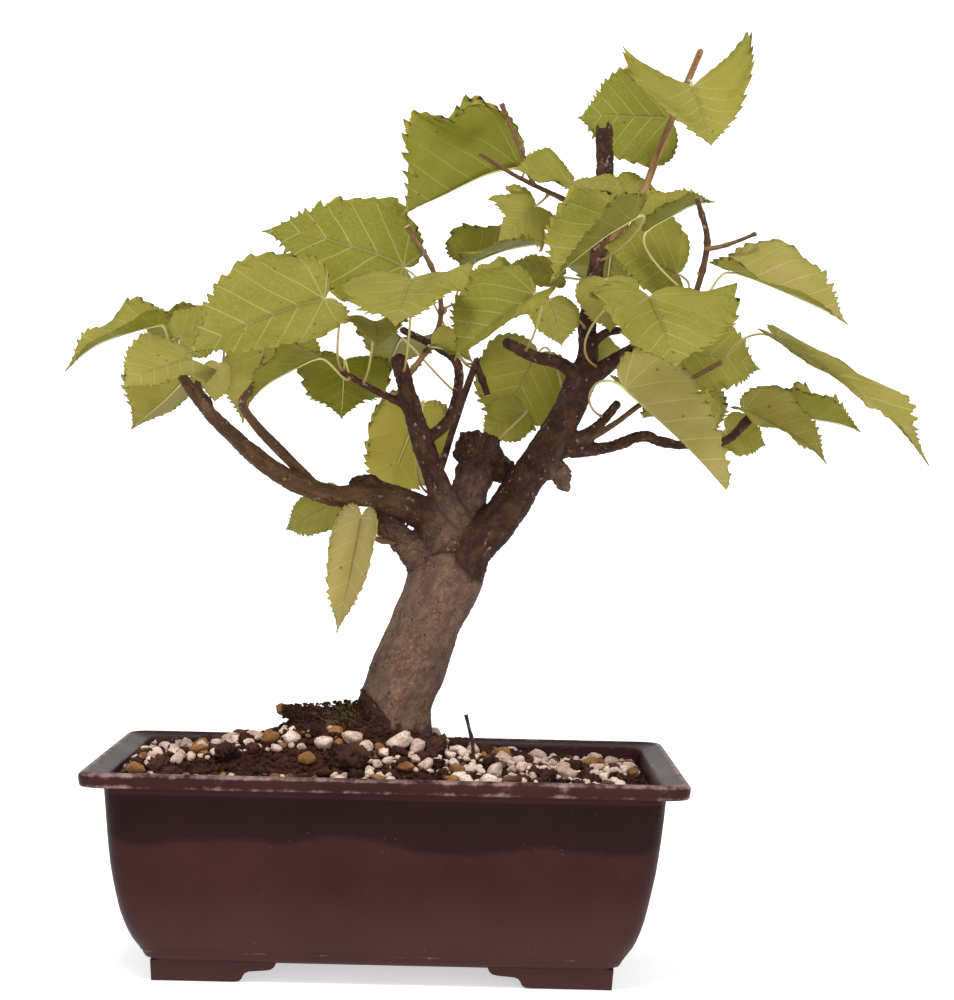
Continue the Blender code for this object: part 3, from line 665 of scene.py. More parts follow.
def moss_strands():
    strands = []
    for k in range(190):
        x = rng.gauss(-0.0245, 0.0048)
        y = rng.gauss(-0.0120, 0.0060)
        z = peat_height(x, y) + 0.001
        lean = Vector((rng.gauss(-0.35, 0.45), rng.gauss(-0.25, 0.45), 1.0)).normalized()
        length = rng.uniform(0.0028, 0.0075)
        droop = rng.uniform(0.1, 0.5)
        strands.append([
            tuple(Vector((x, y, z)) + lean * length * t - Vector((0, 0, droop * length * t * t)))
            + (0.00022 * (1 - 0.75 * t),) for t in (0.0, 0.25, 0.5, 0.75, 1.0)])
    return strands


moss = two_toned("moss", 0.8, 400.0, 3.0, (0.35, (0.045, 0.040, 0.010)),
                 (0.65, (0.20, 0.19, 0.045)))
place(fibres("moss_tuft", moss, moss_strands()), "soil", "soil")


# ---- Tree --------------------------------------------------------------------------------------
# A young lime tree that grew as one piece: a leaning grey trunk, a surface root and branches of
# dark bark with swollen burrs where older ones were cut off. The top of the leader is broken,
# and thin brown twigs end in clean pruning cuts.
# rows of (x, y, z, radius) in metres from the middle of the pot
TRUNK = [
    (0.004, 0.000, 0.092, 0.0165), (0.002, 0.000, 0.112, 0.0205), (0.001, 0.000, 0.125, 0.0200),
    (0.003, 0.000, 0.138, 0.0190), (0.011, 0.000, 0.160, 0.0182), (0.022, 0.000, 0.190, 0.0188),
    (0.030, -0.001, 0.212, 0.0200), (0.034, 0.000, 0.228, 0.0160),
]
ROOT = [
    (0.000, -0.002, 0.118, 0.0090), (-0.016, -0.006, 0.126, 0.0075),
    (-0.036, -0.007, 0.128, 0.0050), (-0.050, -0.006, 0.129, 0.0038),
    (-0.059, -0.005, 0.131, 0.0030),
]
# name: (0 trunk to 1 branch to 2 this year's shoot, ruggedness, points)
LIMBS = {
    "branch_left": (1.3, 0.45, [
        (0.030, -0.002, 0.222, 0.0120), (0.012, -0.009, 0.236, 0.0088),
        (-0.010, -0.017, 0.244, 0.0072), (-0.029, -0.025, 0.243, 0.0058),
        (-0.047, -0.032, 0.248, 0.0054), (-0.065, -0.038, 0.258, 0.0050),
        (-0.083, -0.042, 0.273, 0.0042), (-0.099, -0.045, 0.289, 0.0034),
        (-0.113, -0.048, 0.309, 0.0024),
    ]),
    "knot_left": (1.0, 1.2, [(-0.006, -0.016, 0.243, 0.0066), (-0.014, -0.017, 0.248, 0.0068),
                             (-0.022, -0.018, 0.250, 0.0044)]),
    "fork_left": (1.35, 0.35, [
        (-0.043, -0.031, 0.250, 0.0030), (-0.061, -0.026, 0.267, 0.0030),
        (-0.073, -0.022, 0.279, 0.0026), (-0.080, -0.020, 0.290, 0.0024),
        (-0.074, -0.018, 0.300, 0.0022), (-0.068, -0.014, 0.316, 0.0020),
    ]),
    "spur_left": (1.2, 0.3, [(-0.094, -0.044, 0.288, 0.0022), (-0.100, -0.043, 0.296, 0.0017),
                      (-0.102, -0.040, 0.307, 0.0017)]),
    "knob_under": (0.9, 1.5, [(0.014, -0.004, 0.212, 0.0080), (0.003, -0.005, 0.221, 0.0072),
                       (-0.007, -0.007, 0.232, 0.0060), (-0.011, -0.009, 0.241, 0.0040)]),
    "twig_under": (1.5, 0.2, [(0.002, -0.007, 0.219, 0.0016), (-0.009, -0.011, 0.221, 0.0013),
                       (-0.016, -0.013, 0.227, 0.0012)]),
    "branch_middle": (0.95, 0.5, [
        (0.032, -0.004, 0.228, 0.0090), (0.024, -0.009, 0.245, 0.0068),
        (0.017, -0.014, 0.262, 0.0060), (0.010, -0.018, 0.281, 0.0054),
        (0.004, -0.022, 0.300, 0.0046), (0.000, -0.026, 0.315, 0.0042),
    ]),
    "twig_middle_left": (1.1, 0.4, [(0.004, -0.021, 0.291, 0.0026), (-0.012, -0.024, 0.298, 0.0020),
                             (-0.029, -0.030, 0.307, 0.0018)]),
    "twig_middle_right": (1, 0.4, [
        (0.014, -0.016, 0.272, 0.0034), (0.027, -0.013, 0.284, 0.0032),
        (0.031, -0.009, 0.300, 0.0028), (0.030, -0.009, 0.314, 0.0026),
        (0.018, -0.012, 0.322, 0.0022), (0.001, -0.018, 0.330, 0.0020),
    ]),
    "twig_behind": (1, 0.3, [
        (0.022, 0.004, 0.230, 0.0030), (0.019, 0.012, 0.244, 0.0026),
        (0.025, 0.020, 0.266, 0.0022), (0.033, 0.030, 0.294, 0.0021),
        (0.041, 0.038, 0.318, 0.0020),
    ]),
    "stub_behind": (1, 0.3, [(0.040, 0.038, 0.316, 0.0020), (0.047, 0.035, 0.298, 0.0018)]),
    "stump": (0.5, 1.0, [(0.033, 0.003, 0.222, 0.0140), (0.037, 0.006, 0.240, 0.0105),
                  (0.041, 0.009, 0.258, 0.0100), (0.042, 0.010, 0.267, 0.0128),
                  (0.041, 0.010, 0.274, 0.0110)]),
    "burr_stump": (0.9, 1.6, [(0.044, 0.011, 0.262, 0.0070), (0.056, 0.013, 0.258, 0.0068),
                       (0.062, 0.014, 0.254, 0.0040)]),
    "branch_right": (1, 0.5, [
        (0.030, -0.003, 0.208, 0.0150), (0.042, -0.004, 0.220, 0.0125),
        (0.056, -0.002, 0.235, 0.0105), (0.073, 0.002, 0.262, 0.0090),
        (0.087, 0.005, 0.286, 0.0082), (0.095, 0.006, 0.305, 0.0080),
        (0.099, 0.006, 0.320, 0.0058), (0.098, 0.007, 0.335, 0.0050),
        (0.101, 0.009, 0.356, 0.0045), (0.104, 0.011, 0.382, 0.0044),
        (0.106, 0.012, 0.412, 0.0048), (0.105, 0.012, 0.438, 0.0046),
    ]),
    "burr_right": (0.35, 1.4, [(0.078, 0.004, 0.262, 0.0070), (0.085, 0.006, 0.257, 0.0062),
                       (0.089, 0.007, 0.250, 0.0034)]),
    "arm_front": (1, 0.4, [(0.098, 0.004, 0.306, 0.0056), (0.110, -0.005, 0.315, 0.0042),
                      (0.122, -0.016, 0.323, 0.0036), (0.137, -0.026, 0.334, 0.0026),
                      (0.150, -0.028, 0.345, 0.0022)]),
    "arm_thin": (1.1, 0.3, [(0.097, 0.005, 0.322, 0.0032), (0.107, 0.001, 0.331, 0.0024),
                     (0.115, -0.004, 0.333, 0.0022)]),
    "arm_left": (1, 0.4, [(0.095, 0.004, 0.308, 0.0044), (0.084, -0.002, 0.315, 0.0036),
                     (0.070, -0.009, 0.318, 0.0034), (0.055, -0.014, 0.325, 0.0030)]),
    "lateral": (1, 0.6, [
        (0.082, 0.004, 0.270, 0.0050), (0.098, 0.009, 0.270, 0.0040),
        (0.113, 0.014, 0.272, 0.0033), (0.129, 0.017, 0.278, 0.0034),
        (0.141, 0.020, 0.275, 0.0029), (0.158, 0.023, 0.274, 0.0027),
        (0.175, 0.026, 0.277, 0.0025), (0.190, 0.030, 0.292, 0.0028),
    ]),
    "stub_upper": (1.1, 0.4, [(0.089, 0.004, 0.274, 0.0040), (0.103, 0.001, 0.281, 0.0030),
                       (0.115, -0.004, 0.295, 0.0026)]),
    "twig_lateral": (1.4, 0.2, [
        (0.096, 0.007, 0.273, 0.0022), (0.114, 0.012, 0.284, 0.0017),
        (0.131, 0.017, 0.297, 0.0017), (0.149, 0.024, 0.306, 0.0015),
        (0.172, 0.030, 0.319, 0.0015),
    ]),
    "shoot_top": (2, 0.3, [
        (0.104, 0.011, 0.374, 0.0034), (0.115, 0.014, 0.388, 0.0027),
        (0.125, 0.018, 0.402, 0.0023), (0.133, 0.023, 0.424, 0.0022),
        (0.145, 0.029, 0.456, 0.0020), (0.157, 0.034, 0.486, 0.0020),
    ]),
    "twig_top_left": (1.4, 0.2, [(0.105, 0.011, 0.391, 0.0024), (0.086, 0.001, 0.400, 0.0018),
                          (0.061, -0.012, 0.410, 0.0014), (0.039, -0.022, 0.421, 0.0013)]),
    "twig_top_up": (1.5, 0.2, [(0.068, -0.009, 0.407, 0.0013), (0.060, -0.016, 0.425, 0.0012),
                        (0.050, -0.022, 0.447, 0.0012)]),
    "twig_cut": (1.5, 0.2, [(0.004, -0.020, 0.304, 0.0016), (0.020, -0.002, 0.332, 0.0014),
                     (0.018, -0.008, 0.358, 0.0013), (0.003, -0.018, 0.383, 0.0013)]),
    "twig_bud": (1.3, 0.3, [(0.146, -0.027, 0.341, 0.0020), (0.152, -0.026, 0.352, 0.0016),
                     (0.157, -0.030, 0.378, 0.0016), (0.151, -0.034, 0.400, 0.0013)]),
    "twig_bud_side": (1.5, 0.2, [(0.156, -0.030, 0.374, 0.0015), (0.166, -0.033, 0.376, 0.0011),
                          (0.181, -0.040, 0.382, 0.0009)]),
}
VOXEL = 0.00100    # grid on which the thick limbs are fused
THIN = 0.0021      # limbs that start thinner than this are swept, the others are fused


def between(a, b, c, d, t):
    """A point part of the way from b to c, on the smooth curve through all four."""
    return 0.5 * (2 * b + (c - a) * t + (2 * a - 5 * b + 4 * c - d) * t ** 2
                  + (3 * b - a - 3 * c + d) * t ** 3)


def curve_through(points, spacing):
    """(x, y, z, radius) at even steps along a smooth curve through the points."""
    rows = np.array(points, dtype=float)
    ends = np.vstack([2 * rows[0] - rows[1], rows, 2 * rows[-1] - rows[-2]])
    path = []
    for a, b, c, d in zip(ends, ends[1:], ends[2:], ends[3:]):
        count = max(2, int(np.linalg.norm(c[:3] - b[:3]) / spacing))
        path += [between(a, b, c, d, t) for t in np.arange(count) / count]
    path.append(rows[-1])
    return np.array(path)


def directions(path):
    ahead = np.gradient(path[:, :3], axis=0)
    return ahead / np.linalg.norm(ahead, axis=1)[:, None]


def walk(path):
    """The distance from the start of the path to each of its points."""
    steps = np.linalg.norm(np.diff(path, axis=0), axis=1)
    return np.concatenate([[0], np.cumsum(steps)])


def frames_along(path):
    """The way ahead and two directions across it, turning as little as possible."""
    ahead = directions(path)
    side = np.array(Vector(ahead[0]).orthogonal().normalized())
    sides = []
    for way in ahead:
        side = side - way * side.dot(way)
        side /= np.linalg.norm(side)
        sides.append(side)
    sides = np.array(sides)
    return ahead, sides, np.cross(ahead, sides)


def sweep(path, count, rounded):
    """A closed tube along the path: its points and its faces."""
    if rounded:
        ahead = directions(path)
        turn = np.array([0.35, 0.75, 0.95])
        first = [np.append(path[0, :3] - ahead[0] * path[0, 3] * 0.7 * (1 - k), path[0, 3] * k)
                 for k in turn]
        last = [np.append(path[-1, :3] + ahead[-1] * path[-1, 3] * 0.7 * (1 - k), path[-1, 3] * k)
                for k in turn[::-1]]
        path = np.vstack([first, path, last])
    _, side, other = frames_along(path)
    angle = np.arange(count) / count * 2 * math.pi
    cosine, sine = np.cos(angle)[None, :, None], np.sin(angle)[None, :, None]
    rings = path[:, None, :3] + path[:, None, 3:] * (cosine * side[:, None]
                                                     + sine * other[:, None])
    faces = [(k * count + m, k * count + (m + 1) % count,
              (k + 1) * count + (m + 1) % count, (k + 1) * count + m)
             for k in range(len(path) - 1) for m in range(count)]
    faces.append(tuple(reversed(range(count))))
    faces.append(tuple((len(path) - 1) * count + m for m in range(count)))
    return rings.reshape(-1, 3), faces


def bark_material():
    mat = new_material("bark")
    grain = attribute_of(mat, "grain", "Vector")
    kind = attribute_of(mat, "kind")

    def stretched(x, y, z):
        node = add_node(mat.node_tree, "ShaderNodeVectorMath", operation="MULTIPLY")
        feed(grain, node.inputs[0])
        feed((x, y, z), node.inputs[1])
        return node.outputs[0]

    def times(a, b):
        return calc("MULTIPLY", a, b)

    mottle = ranged(noise_of(stretched(1, 1, 0.75), 190.0, 9.0, 0.75), 0.34, 0.68)
    streak = noise_of(stretched(1, 1, 0.12), 420.0, 4.0, 0.6)
    grey = blend("trunk grey", mottle, (0.080, 0.041, 0.029), (0.182, 0.110, 0.080))
    dark = blend("branch brown", mottle, (0.014, 0.0050, 0.0024), (0.078, 0.030, 0.0135))
    tan = blend("shoot tan", ranged(streak, 0.3, 0.7), (0.170, 0.082, 0.030), (0.400, 0.235, 0.095))
    colour = blend("trunk to branch", ranged(kind, 0.15, 0.95), grey, dark)
    colour = blend("branch to shoot", ranged(kind, 1.05, 2.0), colour, tan)
    # warm lenticels stand in upright columns on the trunk
    column = ranged(noise_of(stretched(1, 1, 0.14), 105.0, 1.0, 0.6), 0.48, 0.60)
    dots = ranged(noise_of(stretched(1, 1, 0.9), 620.0, 3.0, 0.6), 0.54, 0.64, 0.0, 0.75)
    smooth_bark = ranged(kind, 0.2, 0.7, 1.0, 0.0)
    colour = blend("lenticels", times(times(column, dots), smooth_bark), colour,
                   (0.330, 0.130, 0.045))
    # pale lichen flecks on the branches
    patch = ranged(noise_of(stretched(1, 1, 1), 120.0, 3.0, 0.6), 0.42, 0.60)
    fleck = ranged(noise_of(stretched(1, 1, 0.7), 430.0, 3.0, 0.5), 0.60, 0.68, 0.0, 0.65)
    flecks = times(times(patch, fleck), ranged(kind, 0.3, 0.8))
    colour = blend("lichen", flecks, colour, (0.330, 0.260, 0.200))
    # dark pits
    cells = add_node(mat.node_tree, "ShaderNodeTexVoronoi", in_Scale=250.0,
                     in_Vector=stretched(1, 1, 0.8))
    pits = ranged(cells.outputs["Distance"], 0.07, 0.17, 0.85, 0.0)
    colour = blend("pits", pits, colour, (0.014, 0.006, 0.004))
    colour = blend("soil on the bark", attribute_of(mat, "damp"), colour,
                   (0.030, 0.012, 0.008))
    colour = blend("cut wood", attribute_of(mat, "cut"), colour, (0.430, 0.320, 0.190))
    fine = times(noise_of(stretched(1, 1, 0.8), 700.0, 5.0, 0.6), 1.2)
    height = calc("SUBTRACT", calc("ADD", mottle, fine), pits)
    principled(mat, in_Base_Color=colour, in_Roughness=0.72, in_Specular_IOR_Level=0.22,
               in_Normal=bumped(height, 0.75, 0.0007))
    return mat


def node_spacing(order):
    """How far apart a twig's nodes are: it differs a little from twig to twig."""
    return 0.0125 + 0.002 * (order % 3)


def bark_attributes(mesh, kinds, damps, grains, cuts=None):
    point_attribute(mesh, "kind", kinds)
    point_attribute(mesh, "damp", damps)
    if cuts is not None:
        point_attribute(mesh, "cut", cuts)
    layer = mesh.attributes.new("grain", "FLOAT_VECTOR", "POINT")
    layer.data.foreach_set("vector", np.asarray(grains, dtype=np.float32).ravel())


def fused_limbs(limbs):
    """The thick limbs grown into one another, with lumps, ridges and cracks in the bark."""
    verts, faces, samples = [], [], []
    for order, (kind, rough, path) in enumerate(limbs):
        points, sides = sweep(path, 20, True)
        base = len(verts)
        verts += points.tolist()
        faces += [tuple(base + k for k in face) for face in sides]
        ahead, side, other = frames_along(path)
        walked = walk(path[:, :3])
        for k in range(len(path)):
            # grey bark runs a little way out from the trunk into the old branches
            own = kind
            if order in GREYED:
                own = kind * min(1.0, 0.15 + walked[k] / 0.040)
            torn = order == STUMPED and path[k][2] > 0.2585
            samples.append((path[k], side[k], other[k], ahead[k], walked[k] + 0.1 * order,
                            1.0 if torn else own, 2.0 if torn else rough, order))
    mesh = bpy.data.meshes.new("limbs")
    mesh.from_pydata(verts, [], faces)
    rough_cast = bpy.data.objects.new("limbs", mesh)
    bpy.context.scene.collection.objects.link(rough_cast)
    fuse = rough_cast.modifiers.new("Fuse", "REMESH")
    fuse.mode = "VOXEL"
    fuse.voxel_size = VOXEL
    soften = rough_cast.modifiers.new("Soften", "SMOOTH")
    soften.iterations = 5
    graph = bpy.context.evaluated_depsgraph_get()
    grown = bpy.data.meshes.new_from_object(rough_cast.evaluated_get(graph))
    bpy.data.objects.remove(rough_cast)

    tree = KDTree(len(samples))
    for k, sample in enumerate(samples):
        tree.insert(sample[0][:3], k)
    tree.balance()
    kinds, damps, grains, moved = [], [], [], []
    for vert in grown.vertices:
        spot = vert.co
        near = [(distance - samples[k][0][3], k) for _, k, distance in tree.find_n(spot, 14)]
        gap, best = min(near)
        row, side, other, ahead, walked, kind, rough, order = samples[best]
        away = np.array(spot) - row[:3]
        along = walked + away.dot(ahead)
        grain = Vector((away.dot(side), away.dot(other), along))
        radius = row[3]
        weights = [(math.exp(-(d - gap) / 0.0032), k) for d, k in near]
        total = sum(w for w, _ in weights)
        kind = sum(w * samples[k][5] for w, k in weights) / total
        rooted = sum(w for w, k in weights if samples[k][7] == 1) / total
        rough = sum(w * samples[k][6] for w, k in weights) / total
        local = Vector((grain.x, grain.y, along * 0.25))
        push = 0.09 * radius * noise.noise(spot * 60)
        push += 0.035 * radius * noise.noise(local * 200)
        push += 0.00028 * min(1.0, radius / 0.007) * noise.fractal(spot * 420, 0.7, 2.0, 3)
        if rough > 0.35:
            push += (rough - 0.35) * 0.0019 * noise.fractal(spot * 190, 0.9, 2.1, 4)
            crack = abs(noise.noise(Vector((spot.x, spot.y, spot.z * 1.7)) * 260))
            push -= min(rough, 1.2) * 0.0011 * max(0.0, 0.16 - crack) / 0.16
        # rings of cracked bark where the right-hand branch leaves the trunk
        collar = 0.0
        if order == COLLARED:
            collar = math.exp(-((along - 0.1 * order - 0.012) / 0.011) ** 2)
        if collar > 0.05:
            ring = math.sin(along * 2600 + 3.0 * noise.noise(spot * 180))
            push -= collar * 0.00055 * max(0.0, ring - 0.1)
        moved.append(spot + vert.normal * push)
        skirt = spot.z + 0.006 * noise.fractal(spot * 230, 0.9, 2.0, 3) - (0.1225 + 0.06 * spot.x)
        wet = min(1.0, max(0.0, 0.5 - skirt / 0.004))
        wet = max(wet, rooted * (0.85 + 0.5 * noise.noise(spot * 160))
                  * min(1.0, max(0.0, spot.x + 0.0585) / 0.003)
                  * min(1.0, max(0.0, -0.0165 - spot.x) / 0.004))
        if order == 1 and spot.x < -0.0565:
            kind = 1.9
        kinds.append(kind)
        damps.append(wet * (1.0 if spot.z < 0.15 else 0.0))
        grains.append(grain[:])
    grown.vertices.foreach_set("co", np.array(moved, dtype=np.float32).ravel())
    grown.update()
    grown.shade_smooth()
    bark_attributes(grown, kinds, damps, grains)
    grown.materials.clear()
    grown.materials.append(bark_skin)
    return bpy.data.objects.new("trunk_and_branches", grown)


def swept_twigs(twigs):
    """The thin twigs: crooked, swollen at their nodes, cut off square at the end."""
    verts, faces, kinds, grains, cuts = [], [], [], [], []
    for order, (kind, rough, path) in enumerate(twigs):
        path = path.copy()
        walked = walk(path[:, :3])
        step = node_spacing(order)
        node = np.abs((walked / step + 0.3) % 1.0 - 0.5) * 2
        swell = np.exp(-((1 - node) * step / 2 / 0.0016) ** 2)
        path[:, 3] *= 1 + 0.28 * swell
        for k in range(len(path)):
            seed = Vector((walked[k] * 60, order * 3.7, 0.5))
            path[k, :3] += np.array(noise.noise_vector(seed)) * 0.0005 * min(1, walked[k] / 0.01)
        _, side, other = frames_along(path)
        points, sides = sweep(path, 12, False)
        base = len(verts)
        ring = np.repeat(np.arange(len(path)), 12)
        away = points - path[ring, :3]
        verts += points.tolist()
        grains += np.stack([(away * side[ring]).sum(1), (away * other[ring]).sum(1),
                            walked[ring] + 5 + 0.1 * order], axis=1).tolist()
        kinds += [kind] * len(points)
        cuts += [0.0] * len(points)
        faces += [tuple(base + k for k in face) for face in sides[:-1]]
        # the square end has its own points, so that its pale wood stops at a sharp edge
        last = len(verts)
        end = points[-12:]
        verts += end.tolist() + [(end.mean(0) + (path[-1, :3] - path[-2, :3]) * 0.15).tolist()]
        grains += [[0, 0, 5.0]] * 13
        kinds += [kind] * 13
        cuts += [1.0] * 13
        faces += [(last + m, last + (m + 1) % 12, last + 12) for m in range(12)]
    obj = smooth_object("twigs", verts, faces, bark_skin)
    bark_attributes(obj.data, kinds, [0.0] * len(verts), grains, cuts)
    return obj


def buds(twigs):
    """Small pointed buds, one at each node of a twig, on alternate sides."""
    verts, faces = [], []
    for order, (kind, rough, path) in enumerate(twigs):
        ahead, side, other = frames_along(path)
        walked = walk(path[:, :3])
        step = node_spacing(order)
        where = step * 0.7
        turn = order * 1.3
        while where < walked[-1] - 0.002:
            k = int(np.searchsorted(walked, where))
            turn += math.pi + rng.uniform(-0.5, 0.5)
            out = side[k] * math.cos(turn) + other[k] * math.sin(turn)
            way = out * 0.75 + ahead[k] * 0.8
            start = path[k, :3] + out * path[k, 3] * 0.6
            length = rng.uniform(0.0022, 0.0036)
            steps = np.array([0, 0.25, 0.5, 0.75, 0.93, 1.0])
            girth = np.array([0.5, 0.95, 1.0, 0.7, 0.3, 0.08]) * length * 0.34
            bud = np.column_stack([start + np.outer(steps * length, way), girth])
            points, sides = sweep(bud, 8, False)
            base = len(verts)
            verts += points.tolist()
            faces += [tuple(base + m for m in face) for face in sides]
            where += step
    scales = two_toned("bud_scales", 0.45, 90.0, 3.0, (0.42, (0.115, 0.036, 0.016)),
                       (0.58, (0.230, 0.170, 0.050)))
    return smooth_object("buds", verts, faces, scales)


bark_skin = bark_material()
COARSE, FINE = 0.0012, 0.0008      # steps along the thick limbs and along the twigs
thick = [(0.0, 0.25, curve_through(TRUNK, COARSE)), (1.0, 0.9, curve_through(ROOT, COARSE))]
thin = []
GREYED = []
for name, (kind, rough, points) in LIMBS.items():
    if name == "branch_right":
        COLLARED = len(thick)
    if name == "stump":
        STUMPED = len(thick)
    if name in ("branch_left", "branch_middle", "stump", "knob_under"):
        GREYED.append(len(thick))
    if points[0][3] >= THIN:
        thick.append((kind, rough, curve_through(points, COARSE)))
    else:
        thin.append((kind, rough, curve_through(points, FINE)))
# splinters round the broken top of the leader, and the ragged top of the old stump
for turn, reach, lean in ((0.3, 0.009, 0.2), (1.5, 0.006, 0.5), (2.9, 0.008, 0.1),
                          (4.1, 0.005, 0.6), (5.2, 0.010, 0.3)):
    out = np.array((math.cos(turn), math.sin(turn), 0.0))
    low = np.array((0.105, 0.012, 0.434)) + out * 0.0031
    high = low + out * lean * 0.004 + np.array((0, 0, reach))
    thick.append((0.9, 0.6, curve_through([(*low, 0.0019), (*((low + high) / 2), 0.0015),
                                           (*high, 0.0007)], COARSE)))
for turn, rise in ((0.0, 0.002), (1.1, 0.004), (2.3, 0.001), (3.4, 0.004), (4.4, 0.002),
                   (5.4, 0.005)):
    spot = np.array((0.042 + 0.0088 * math.cos(turn), 0.010 + 0.0085 * math.sin(turn), 0.268))
    thick.append((0.8, 1.6, curve_through([(*spot, 0.0044),
                                           (*(spot + (0, 0, 0.003 + rise)), 0.0030)], COARSE)))

wood = place(fused_limbs(thick), "bark", "tree")
twigs = place(swept_twigs(thin), "bark", "tree")
place(buds([t for t in thin if t[0] > 1.2]), "bark", "tree")

# ---- Dead twig ---------------------------------------------------------------------------------
# A short dead stick with a blunt end, pushed into the soil in front of the trunk.
DEAD_TWIG = [(0.044, -0.026, 0.100, 0.0010), (0.043, -0.026, 0.116, 0.0010),
             (0.041, -0.026, 0.124, 0.0009), (0.039, -0.026, 0.132, 0.0010)]

stick = curve_through(DEAD_TWIG, FINE)
place(swept_twigs([(1.0, 0.4, stick)]), "dead_wood", "dead_twig").name = "dead_stick"


# ---- Leaves ------------------------------------------------------------------------------------
# Heart-shaped, pointed lime leaves with doubly toothed margins, thin, soft and yellow-green,
# paler and ribbed underneath. Each grew on a round stalk, which runs on under the blade as its
# midrib. Many are folded up along the midrib or droop at the tip.

